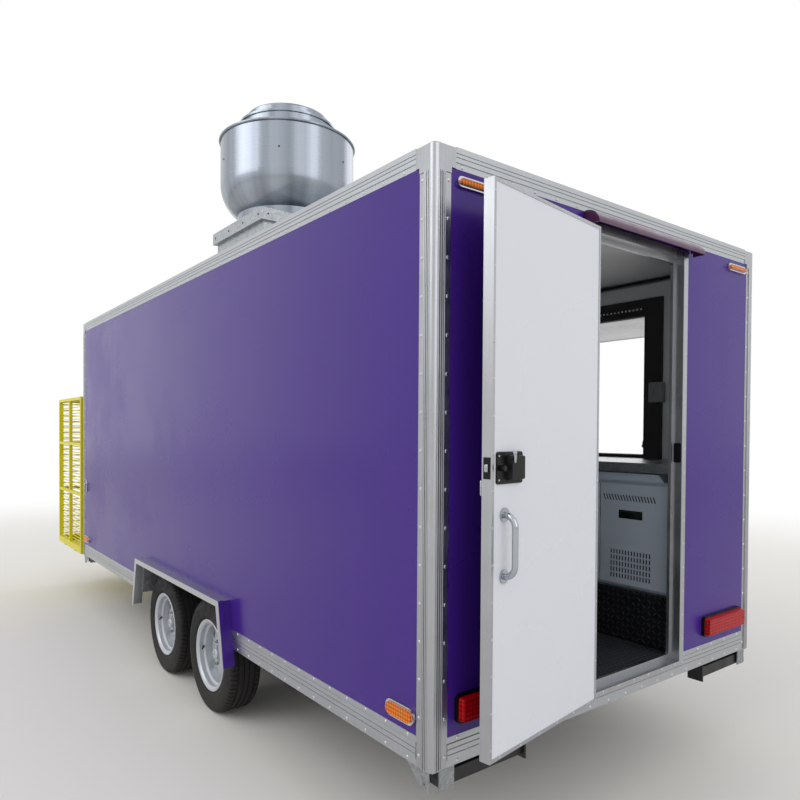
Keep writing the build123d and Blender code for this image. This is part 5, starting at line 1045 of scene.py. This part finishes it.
@dataclass
class RoadWheel:
    """A trailer wheel's tyre with ribbed tread and slotted shoulders, and the rim's nuts and valve."""

    name: str
    side: Side
    palette: Palette
    sectors: int = 72
    slot_share: float = 0.2
    slot_depth: float = 6.0
    shoulder: Pair = (54.5, 303.0)
    nuts: int = 5
    first_nut: float = 36.0
    nut_ring: float = 68.0
    disc_face: float = 26.0
    nut_size: Pair = (21.0, 13.0)
    stud: Pair = (5.5, 19.0)
    # The hub cap's steps: radius, and how far its face stands out
    cap: tuple[Pair, ...] = ((24.0, 58.0), (8.0, 59.5))
    cap_height: float = 4.0
    # The valve's stem: distance from the axle, distance out from the wheel's middle, and radius
    stem: tuple[Triple, ...] = ((178.0, 54.0, 6.5), (171.0, 58.0, 6.5), (150.0, 70.0, 4.2),
                                (146.0, 72.5, 4.6), (134.0, 79.0, 4.6))
    # Half of the tyre's outline, from bead to middle of the tread: distance across, and radius
    section: tuple[Pair, ...] = (
        (81.5, 190.0), (81.5, 211.0), (86.0, 215.0), (88.5, 221.0), (91.5, 223.0), (93.5, 229.0), (95.5, 239.0),
        (96.6, 249.0), (97.2, 257.0), (96.2, 258.2), (96.2, 260.8), (97.0, 262.0), (96.8, 271.0), (95.8, 272.2),
        (95.6, 274.8), (96.2, 276.0), (95.2, 284.0), (93.6, 291.0), (91.8, 300.0), (90.4, 308.0), (88.6, 315.0),
        (84.0, 321.0), (78.0, 324.6), (70.0, 326.4), (54.0, 327.0), (52.6, 320.0), (45.4, 320.0), (44.0, 327.0),
        (31.0, 327.0), (20.5, 327.0), (19.1, 320.0), (11.9, 320.0), (10.5, 327.0), (0.0, 327.0))

    def build(self) -> None:
        """Build the tyre in place of its plain solid, then the fastenings."""
        low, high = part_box(f"tyre_{self.name}")
        centre = (low + high) / 2
        self.tyre(centre)
        self.fastenings(centre)
        self.valve(centre)

    def tyre(self, centre: Vector) -> None:
        """Spin one sector of the tyre, sink its shoulder slot, and repeat it all round."""
        bm = bmesh.new()
        outline = [*self.section, *((-across, up) for across, up in reversed(self.section[:-1]))]
        points = [bm.verts.new((0, across * MM, up * MM)) for across, up in outline]
        edges = [bm.edges.new(pair) for pair in zip(points, points[1:] + points[:1])]
        pitch = math.tau / self.sectors
        turn: dict[str, Any] = {"axis": (0, 1, 0), "cent": (0, 0, 0)}
        block = bmesh.ops.spin(bm, geom=points + edges, angle=pitch * (1 - self.slot_share), steps=1, **turn)
        before = set(bm.faces)
        bmesh.ops.spin(bm, geom=block["geom_last"], angle=pitch * self.slot_share, steps=1, **turn)
        slot = [face for face in bm.faces if face not in before and self.on_shoulder(face)]
        sunk = bmesh.ops.extrude_face_region(bm, geom=slot)
        for vert in sunk["geom"]:
            if isinstance(vert, bmesh.types.BMVert):
                vert.co -= Vector((vert.co.x, 0, vert.co.z)).normalized() * self.slot_depth * MM
        bmesh.ops.delete(bm, geom=[face for face in slot if face.is_valid], context="FACES")
        bmesh.ops.spin(bm, geom=bm.verts[:] + bm.edges[:] + bm.faces[:], angle=pitch * (self.sectors - 1),
                       steps=self.sectors - 1, use_duplicate=True, **turn)
        bmesh.ops.remove_doubles(bm, verts=bm.verts, dist=0.05 * MM)
        bmesh.ops.recalc_face_normals(bm, faces=bm.faces)
        bmesh.ops.translate(bm, verts=bm.verts, vec=centre)
        tyre = new_piece(f"tread_{self.name}", bm, self.palette.rubber, f"wheel_{self.name}")
        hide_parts(f"tyre_{self.name}")

    def on_shoulder(self, face: bmesh.types.BMFace) -> bool:
        """Tell whether a face lies on one of the outer ribs or just over their edge."""
        middle = face.calc_center_median()
        across, up = (limit * MM for limit in self.shoulder)
        return abs(middle.y) > across and math.hypot(middle.x, middle.z) > up

    def fastenings(self, centre: Vector) -> None:
        """Set the nuts on the disc, between its windows, and the hub's stepped cap."""
        bm = bmesh.new()
        side, out = self.side.value, self.side.out
        for number in range(self.nuts):
            angle = math.radians(self.first_nut) + math.tau * number / self.nuts
            place = centre + Vector((-side * math.cos(angle) * self.nut_ring, side * self.disc_face,
                                     math.sin(angle) * self.nut_ring)) * MM
            add_hex_head(bm, place, out, self.nut_size)
            add_rod(bm, place, place + out * self.stud[1] * MM, self.stud[0], segments=10)
        for radius, proud in self.cap:
            face = centre + out * proud * MM
            add_rod(bm, face - out * self.cap_height * MM, face, radius, radius - 2, 24)
        new_piece(f"wheel_nuts_{self.name}", bm, self.palette.zinc, f"wheel_{self.name}")

    def valve(self, centre: Vector) -> None:
        """Stand the rubber valve stem in the rim's well, at the front of the wheel."""
        bm = bmesh.new()
        stops = [(centre + self.side.value * Vector((away, out, 0)) * MM, radius)
                 for away, out, radius in self.stem]
        for (start, first), (end, second) in zip(stops, stops[1:]):
            add_rod(bm, start, end, first, second)
        new_piece(f"wheel_valve_{self.name}", bm, self.palette.black_plastic, f"wheel_{self.name}")


@dataclass(frozen=True)
class DoorLeaf:
    """The open door's own axes: x from the pins to the lock edge, y to the inner face, z upward."""

    body: BoxBody
    hinge: float = 330.0
    stand: float = 22.0
    open_angle: float = 171.0
    inner_face: float = 52.0
    outer_face: float = 10.0

    @property
    def turn(self) -> tuple[Vector, Vector]:
        """Give the directions of the leaf's own x and y."""
        angle = math.radians(-90 - self.open_angle)
        return Vector((math.cos(angle), math.sin(angle), 0)), Vector((-math.sin(angle), math.cos(angle), 0))

    def point(self, along: float, inward: float, up: float) -> Vector:
        """Give a point of the leaf, from its own millimetres."""
        ways = self.turn
        return self.body.at(-self.stand, self.hinge, up) + (ways[0] * along + ways[1] * inward) * MM

    def mount(self, along: float, inward: float, up: float) -> Matrix:
        """Give the matrix that takes a shape to a point of the leaf, turned as the leaf is."""
        turned = Matrix((*self.turn, UP)).transposed().to_4x4()
        return Matrix.Translation(self.point(along, inward, up)) @ turned

    def inner_half(self) -> HalfSpace:
        """Give the half of the leaf's thickness on its inner side."""
        inward = self.turn[1]
        middle = self.point(0, (self.inner_face + self.outer_face) / 2, 0)
        return HalfSpace(tuple(inward), middle.dot(inward))


@dataclass
class DoorFittings:
    """Rivets, lock parts and outer handle on the door leaf."""

    leaf: DoorLeaf
    palette: Palette
    rivet: Rivet = Rivet((4.8, 2.6), 122.0)
    lip: float = 6.5
    upright_end: float = 45.0
    cross_end: float = 60.0
    width: float = 740.0
    bottom: float = 80.0
    top: float = 2014.0
    lock: Pair = (642.0, 1060.0)
    screw: Pair = (4.2, 2.2)
    # The lock case's face, and its screws' places along and up from the lock's middle
    case_face: float = 56.0
    screws: tuple[Pair, ...] = ((64.0, -40.0), (64.0, 40.0), (-68.0, 0.0))
    lever: Block = Block((-10, 0, 0), (10, 7, 40), 1, 4, 1.5)
    lever_foot: float = 0.62
    lever_place: Triple = (646.0, 74.0, 1078.0)
    lever_turn: Pair = (14.0, -8.0)
    bolt: Block = Block((-2, -7, -13), (4, 7, 13), 1, 2.5, 0.8)
    bolt_place: Triple = (743.0, 31.0, 1060.0)
    handle: Pair = (690.0, 1020.0)
    plate: Block = Block((-21, -4, -62), (21, 0, 62), 1, 12, 1.5)
    grip: Block = Block((8, -30, -56), (24, -19, -4), 2, 5, 2)
    bridge: Block = Block((-6, -31, -39), (20, -20, -21), 1, 4, 1)

    def build(self) -> None:
        """Build all the door's small parts."""
        self.rivets()
        self.lock_parts()
        self.outer_handle()

    def rivets(self) -> None:
        """Rivet the edge channel on both faces of the leaf."""
        bm = bmesh.new()
        leaf, inward = self.leaf, self.leaf.turn[1]
        for face, out in ((leaf.inner_face, inward), (leaf.outer_face, -inward)):
            for along in (2 + self.lip, self.width - self.lip):
                self.rivet.row(bm, leaf.point(along, face, self.bottom + self.upright_end),
                               leaf.point(along, face, self.top - self.upright_end), out)
            for up in (self.bottom + self.lip, self.top - self.lip):
                self.rivet.row(bm, leaf.point(self.cross_end, face, up),
                               leaf.point(self.width - self.cross_end, face, up), out)
        new_piece("door_rivets", bm, self.palette.rivet, "rear_door")

    def lock_parts(self) -> None:
        """Build the lock's screws, its chromed lever and the latch bolt on the free edge."""
        bm = bmesh.new()
        across, up = self.lock
        for along, high in self.screws:
            place = self.leaf.point(across + along, self.case_face, up + high)
            add_dome(bm, place, self.leaf.turn[1], self.screw)
        lever = self.lever.shape()
        for vert in lever.verts:
            vert.co.x *= self.lever_foot + (1 - self.lever_foot) * vert.co.z / (self.lever.high[2] * MM)
        swing, lean = (math.radians(angle) for angle in self.lever_turn)
        join(bm, lever, self.leaf.mount(*self.lever_place) @ Matrix.Rotation(swing, 4, "Y")
             @ Matrix.Rotation(lean, 4, "X"))
        self.bolt.add(bm, self.leaf.mount(*self.bolt_place))
        new_piece("door_lock_bright_parts", bm, self.palette.chrome, "rear_door")

    def outer_handle(self) -> None:
        """Build the T handle and its plate on the outer face."""
        bm = bmesh.new()
        leaf, (across, up) = self.leaf, self.handle
        for block in (self.plate, self.grip, self.bridge):
            block.add(bm, leaf.mount(across, leaf.outer_face, up))
        add_rod(bm, *(leaf.point(across, leaf.outer_face - depth, up - 30) for depth in (3, 22)), 9, 7.5)
        new_piece("door_outer_handle", bm, self.palette.chrome, "rear_door")


@dataclass
class BodyFittings:
    """Small parts on the body: the lock's keeper, the lever lock on the left wall, the coupler's bolts."""

    body: BoxBody
    palette: Palette
    keeper_place: Triple = (0.0, -418.0, 1085.0)
    keeper: Block = Block((-8, -1, -48), (31, 2.5, 48), 1, 9, 0.8)
    keeper_rim: float = 8.0
    keeper_depth: float = 2.2
    side_lock: Triple = (4958.0, -4.0, 655.0)
    lock_plate: Block = Block((-21, 0, -55), (21, 6, 55), 1, 20, 2)
    lock_lever: Block = Block((-9, 15, -48), (9, 24, 34), 1, 8, 2)
    # The coupler's bolts: forward of its rear end, out from its middle, and down from its top
    neck_bolts: Pair = (30.0, 75.0)
    neck_out: float = 38.0
    neck_down: float = 46.0
    bolt_size: Pair = (22.0, 10.0)

    def build(self) -> None:
        """Build the keeper, the lever lock and the bolts."""
        self.door_keeper()
        self.lever_lock()
        self.bolts()

    def door_keeper(self) -> None:
        """Build the black keeper on the doorway's jamb, with its pocket for the bolt."""
        bm, plate = bmesh.new(), self.keeper.shape()
        face = max(plate.faces, key=lambda f: f.calc_center_median().y if abs(f.normal.y) > 0.9 else -1e9)
        bmesh.ops.inset_region(plate, faces=[face], thickness=self.keeper_rim * MM, use_even_offset=True)
        pocket = bmesh.ops.extrude_face_region(plate, geom=[face])
        bmesh.ops.translate(plate, verts=[v for v in pocket["geom"] if isinstance(v, bmesh.types.BMVert)],
                            vec=(0, -self.keeper_depth * MM, 0))
        bmesh.ops.delete(plate, geom=[face] if face.is_valid else [], context="FACES")
        join(bm, plate, self.body.mount(*self.keeper_place))
        new_piece("door_keeper", bm, self.palette.black_plastic, "trailer")

    def lever_lock(self) -> None:
        """Build the oval chromed lever lock near the front of the left wall."""
        bm = bmesh.new()
        along, proud, up = self.side_lock
        wall = self.body.half_width + proud
        for block in (self.lock_plate, self.lock_lever):
            block.add(bm, self.body.mount(along, wall, up))
        add_rod(bm, *(self.body.at(along, wall + out, up + 22) for out in (4, 22)), 11, 9, 20)
        new_piece("side_lever_lock", bm, self.palette.chrome, "trailer")

    def bolts(self) -> None:
        """Bolt the coupler's neck to the drawbar."""
        bm = bmesh.new()
        low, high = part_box("coupler")
        start = Vector((low.x, (low.y + high.y) / 2, high.z - self.neck_down * MM))
        for along in self.neck_bolts:
            for side in Side:
                place = start + Vector((along, side.value * self.neck_out, 0)) * MM
                add_hex_head(bm, place, UP, self.bolt_size)
        new_piece("coupler_bolts", bm, self.palette.zinc, "trailer")


@dataclass
class CabinFittings:
    """What shows through the doorway: window lights, a switch box, the fridge's display and cove trims."""

    body: BoxBody
    palette: Palette
    liner: float = -1082.0
    lights: Pair = (640.0, 2900.0)
    lights_up: float = 1945.0
    lens: Rivet = Rivet((6.5, 4.0), 27.0)
    switch_place: Pair = (476.0, 1366.0)
    switch_box: Block = Block((0, -1, 0), (90, 38, 120), 1, 6, 4)
    rockers: tuple[Block, ...] = (Block((24, 36, 30), (48, 42, 90), 1, 2, 1),
                                  Block((54, 36, 30), (78, 42, 90), 1, 2, 1))
    room_end: float = 52.0
    room_side: float = 1100.0
    bead: float = 14.0
    bead_up: Pair = (2106.0, 2119.0)
    display: Block = Block((-70, -4, -21), (70, -1, 21), 1, 3, 0.6)
    display_place: Pair = (297.0, 750.0)
    pulls: Pair = (920.0, 1010.0)
    pull_feet: Pair = (620.0, 830.0)
    pull_span: Pair = (605.0, 845.0)

    def build(self) -> None:
        """Build the cabin's small parts."""
        self.light_strip()
        self.switches()
        self.cove_trims()
        self.fridge_parts()

    def light_strip(self) -> None:
        """Run a slim light strip with round lenses along the top of the window."""
        strip, lenses = bmesh.new(), bmesh.new()
        start, end = self.lights
        channel = Block((start - 15, -1, -9), (end + 15, 7, 9), 0, 2, 1)
        channel.add(strip, self.body.mount(0, self.liner, self.lights_up))
        new_piece("window_light_channel", strip, self.palette.dark_trim, "trailer")
        self.lens.row(lenses, *(self.body.at(along, self.liner + 7, self.lights_up) for along in self.lights),
                      Vector((0, 1, 0)))
        new_piece("window_light_lenses", lenses, self.palette.white_lens, "trailer")

    def switches(self) -> None:
        """Fix a switch box on the window's rear jamb, with two rockers."""
        bm = bmesh.new()
        along, up = self.switch_place
        for block in (self.switch_box, *self.rockers):
            block.add(bm, self.body.mount(along, self.liner, up))
        new_piece("cabin_switch_box", bm, self.palette.grey_plastic, "trailer")

    def cove_trims(self) -> None:
        """Seal the joint of walls and ceiling with a dark bead all round."""
        bm = bmesh.new()
        near, far, side, bead = self.room_end, self.body.length - self.room_end, self.room_side, self.bead
        low, high = self.bead_up
        beads = ((0, (near, side - bead), (far, side)), (0, (near, -side), (far, bead - side)),
                 (1, (near, -side), (near + bead, side)), (1, (far - bead, -side), (far, side)))
        for axis, start, end in beads:
            Block((*start, low), (*end, high), axis, 4).add(bm, self.body.mount(0, 0, 0))
        new_piece("cabin_cove_trims", bm, self.palette.dark_trim, "trailer")

    def fridge_parts(self) -> None:
        """Set the dark display in the fridge's panel, and pull handles on its two doors."""
        glass, pulls = bmesh.new(), bmesh.new()
        face = (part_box("fridge")[1].y - self.body.middle) / MM
        along, up = self.display_place
        self.display.add(glass, self.body.mount(along, face, up))
        new_piece("fridge_display", glass, self.palette.display, "trailer")
        for along in self.pulls:
            for up in self.pull_feet:
                add_rod(pulls, *(self.body.at(along, face + out, up) for out in (-1, 8)), 5)
            add_rod(pulls, *(self.body.at(along, face + 8, up) for up in self.pull_span), 6)
        new_piece("fridge_pulls", pulls, self.palette.stainless, "trailer")


@dataclass
class RoofFan:
    """Screws on the fan's bowl and its neck, and on the flange of its curb."""

    palette: Palette
    screw: Pair = (6.0, 3.5)
    screws: int = 6
    first_screw: float = 25.0
    # Where the screws are: out from the fan's axis, and up from the bowl's top or the curb's top
    bowl: Pair = (400.0, -160.0)
    neck: Pair = (294.5, 30.0)
    curb: Pair = (340.0, -33.0)
    curb_places: tuple[float, ...] = (-300.0, -100.0, 100.0, 300.0)

    def build(self) -> None:
        """Build the fan's screws."""
        low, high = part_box("fan_bowl")
        curb_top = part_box("fan_curb")[1].z
        axis = Vector(((low.x + high.x) / 2, (low.y + high.y) / 2, 0))
        bm = bmesh.new()
        for number in range(self.screws):
            angle = math.radians(self.first_screw) + math.tau * number / self.screws
            out = Vector((math.cos(angle), math.sin(angle), 0))
            for (radius, up), level in ((self.bowl, high.z), (self.neck, curb_top)):
                add_dome(bm, axis + UP * (level + up * MM) + out * radius * MM, out, self.screw)
        reach, up = self.curb
        for out in (Vector((1, 0, 0)), Vector((0, 1, 0)), Vector((-1, 0, 0)), Vector((0, -1, 0))):
            for offset in self.curb_places:
                place = axis + UP * (curb_top + up * MM) + (out * reach + UP.cross(out) * offset) * MM
                add_dome(bm, place, out, self.screw)
        new_piece("fan_screws", bm, self.palette.black_steel, "trailer")


@dataclass
class FlapFittings:
    """Rivets round the serving flap's edge and on the window's flange."""

    body: BoxBody
    palette: Palette
    flap_rivet: Rivet = Rivet((4.8, 2.2), 150.0)
    ring: float = 10.5
    ring_end: float = 80.0
    lip: float = 2.0
    window_rivet: Rivet = Rivet((4.8, 2.2), 140.0)
    flange_proud: float = 12.0
    # The rows on the window's flange, from one place along and up to the other
    rows: tuple[tuple[Pair, Pair], ...] = (((640.0, 1029.0), (2900.0, 1029.0)),
                                           ((605.0, 1050.0), (605.0, 1860.0)),
                                           ((2935.0, 1050.0), (2935.0, 1860.0)))

    def build(self) -> None:
        """Build both sets of rivets."""
        self.flap_rivets()
        self.window_rivets()

    def flap_rivets(self) -> None:
        """Rivet the flap's edge ring, above and below."""
        low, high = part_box("flap_panel")
        edge_low, edge_high = (corner.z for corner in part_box("flap_edge"))
        ring, end, lip = self.ring * MM, self.ring_end * MM, self.lip * MM
        rear, front, far, near = low.x - ring, high.x + ring, low.y - ring, high.y + ring
        bm = bmesh.new()
        for level, out in ((max(edge_low, low.z - lip), -UP), (min(edge_high, high.z + lip), UP)):
            for across in (near, far):
                ends = (Vector((along, across, level)) for along in (rear + end, front - end))
                self.flap_rivet.row(bm, *ends, out)
            for along in (rear, front):
                ends = (Vector((along, across, level)) for across in (far + end, near - end))
                self.flap_rivet.row(bm, *ends, out)
        new_piece("flap_rivets", bm, self.palette.rivet, "serving_flap")

    def window_rivets(self) -> None:
        """Rivet the flange under and beside the window."""
        bm = bmesh.new()
        face = -self.body.half_width - self.flange_proud
        for row in self.rows:
            self.window_rivet.row(bm, *(self.body.at(along, face, up) for along, up in row), Side.RIGHT.out)
        new_piece("window_rivets", bm, self.palette.rivet, "trailer")


@dataclass
class CageLatch:
    """The slide bolt that holds the two doors of the drawbar cage shut."""

    palette: Palette
    level: float = 980.0
    frame_depth: float = 18.0
    plate: Block = Block((0, 2, -22), (4, 24, 22), 0, 4, 0.8)
    guides: tuple[Block, ...] = (Block((2, 5, -10), (16, 10, 10), 1, 4, 0.8),
                                 Block((2, 18, -10), (16, 23, 10), 1, 4, 0.8))
    # The rods of the bolt and its handle: one end, the other end, and the radius
    rods: tuple[tuple[Triple, Triple, float], ...] = (((9, 2, 0), (9, 60, 0), 4.5),
                                                      ((9, 52, 0), (9, 52, -34), 4))

    def build(self) -> None:
        """Build the bolt on the left door."""
        low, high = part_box("cage_door_left")
        place = Vector((high.x - self.frame_depth * MM, low.y, self.level * MM))
        bm = bmesh.new()
        for block in (self.plate, *self.guides):
            block.add(bm, Matrix.Translation(place))
        for start, end, radius in self.rods:
            add_rod(bm, place + Vector(start) * MM, place + Vector(end) * MM, radius)
        new_piece("cage_bolt", bm, self.palette.zinc, "cage_door_left")


# Studio


@dataclass
class Studio:
    """Pale floor, large soft lamps and the camera at the photograph's angle; its places are in metres."""

    body: BoxBody
    floor_side: float = 80.0
    floor_colour: str = "#E4E2DE"
    fade: Pair = (6.0, 13.0)
    # In millimetres on the body: the middle of the floor that shows, and what the lamps aim at
    fade_place: Triple = (2900.0, 0.0, 0.0)
    lamp_aim: Triple = (2545.0, 0.0, 1000.0)
    daylight: float = 0.8
    # Name, place, size in metres and power in watts
    lamps: tuple[tuple[str, Triple, float, float], ...] = (
        ("key_lamp", (1.0, 15.0, 12.0), 14.0, 900.0), ("rear_lamp", (-16.0, 1.0, 8.0), 12.0, 420.0),
        ("right_lamp", (3.0, -15.0, 10.0), 12.0, 400.0))
    eye: Triple = (-1.739, 2.626, 1.653)
    yaw: float = -37.56
    pitch: float = -0.91
    roll: float = 0.37
    lens: float = 30.09
    shift: float = 0.0528

    def build(self) -> None:
        """Set up the floor, the world, the lamps and the camera."""
        self.lay_floor()
        self.light_world()
        self.hang_lamps()
        self.place_camera()
        bpy.context.scene.view_settings.view_transform = "Standard"

    def lay_floor(self) -> None:
        """Lay a wide pale floor just under the wheels, which fades into the white behind it."""
        bm = bmesh.new()
        bmesh.ops.create_grid(bm, x_segments=1, y_segments=1, size=self.floor_side / 2)
        mesh = bpy.data.meshes.new("floor")
        bm.to_mesh(mesh)
        bm.free()
        floor = bpy.data.objects.new("floor", mesh)
        bpy.context.scene.collection.objects.link(floor)
        paint = Finish("studio_floor", self.floor_colour, roughness=0.85).material()
        mesh.materials.append(paint)
        tree = paint.node_tree
        place = add_node(tree, "TexCoord")["Object"]
        middle = tuple(self.body.at(*self.fade_place))
        away = add_node(tree, "VectorMath", {0: place, 1: middle}, operation="DISTANCE")["Value"]
        fade = add_node(tree, "MapRange", {0: away, 1: self.fade[0], 2: self.fade[1]},
                        interpolation_type="SMOOTHSTEP")[0]
        seen = add_node(tree, "LightPath")["Is Camera Ray"]
        share = add_node(tree, "Math", {0: fade, 1: seen}, operation="MULTIPLY")[0]
        white = add_node(tree, "Emission", {"Color": (1.0, 1.0, 1.0, 1.0), "Strength": 1.0})[0]
        shader = tree.nodes["Principled BSDF"].outputs[0]
        mixed = add_node(tree, "MixShader", {0: share, 1: shader, 2: white})[0]
        tree.links.new(mixed, tree.nodes["Material Output"].inputs["Surface"])

    def light_world(self) -> None:
        """Set the world, which shows white to the camera, in reflections and through glass."""
        world = bpy.data.worlds.new("studio")
        bpy.context.scene.world = world
        world.use_nodes = True
        tree = world.node_tree
        back = tree.nodes["Background"]
        back.inputs["Color"].default_value = (1.0, 1.0, 1.0, 1.0)
        path = add_node(tree, "LightPath")
        seen = path["Is Camera Ray"]
        for ray in ("Is Glossy Ray", "Is Transmission Ray"):
            seen = add_node(tree, "Math", {0: seen, 1: path[ray]}, operation="MAXIMUM")[0]
        level = add_node(tree, "MapRange", {0: seen, 1: 0.0, 2: 1.0, 3: self.daylight, 4: 1.0})[0]
        tree.links.new(level, back.inputs["Strength"])

    def hang_lamps(self) -> None:
        """Hang three large soft lamps, bigger than the trailer so that metal shows broad even tones."""
        target = self.body.at(*self.lamp_aim)
        for name, place, size, power in self.lamps:
            lamp = bpy.data.lights.new(name, "AREA")
            lamp.size = size
            lamp.energy = power
            holder = bpy.data.objects.new(name, lamp)
            holder.location = place
            holder.rotation_euler = (target - Vector(place)).to_track_quat("-Z", "Y").to_euler()
            bpy.context.scene.collection.objects.link(holder)

    def place_camera(self) -> None:
        """Put the camera where the photo was taken from, counted from the body's rear face and middle."""
        yaw, pitch, roll = (math.radians(angle) for angle in (self.yaw, self.pitch, self.roll))
        ahead = Vector((math.cos(yaw) * math.cos(pitch), math.sin(yaw) * math.cos(pitch), math.sin(pitch)))
        right = Vector((math.sin(yaw), -math.cos(yaw), 0))
        up = right.cross(ahead)
        level, tilt = math.cos(roll), math.sin(roll)
        right, up = level * right + tilt * up, level * up - tilt * right
        turn = Matrix((right, up, -ahead)).transposed()
        lens = bpy.data.cameras.new("camera")
        lens.lens = self.lens
        lens.sensor_width = 36
        lens.shift_y = self.shift
        lens.clip_end = 200
        camera = bpy.data.objects.new("camera", lens)
        place = Vector((self.body.low.x + self.eye[0], self.body.middle + self.eye[1], self.eye[2]))
        camera.matrix_world = Matrix.Translation(place) @ turn.to_4x4()
        bpy.context.scene.collection.objects.link(camera)
        bpy.context.scene.camera = camera


def main() -> None:
    """Dress the frame, build the pieces and light the scene."""
    logging.basicConfig(level=logging.INFO, format="%(message)s")
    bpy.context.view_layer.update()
    body = BoxBody(*(Vector(corner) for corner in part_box("corner_posts")))
    leaf = DoorLeaf(body)
    palette = trailer_palette(body, leaf)
    FrameDressing(palette).dress()
    BodyRivets(body, palette).build()
    for end in ("rear", "front"):
        for side in Side:
            RoadWheel(f"{end}_{side.name.lower()}", side, palette).build()
    DoorFittings(leaf, palette).build()
    for fittings in (BodyFittings, CabinFittings, FlapFittings):
        fittings(body, palette).build()
    RoofFan(palette).build()
    CageLatch(palette).build()
    Studio(body).build()


if __name__ == "__main__":
    main()
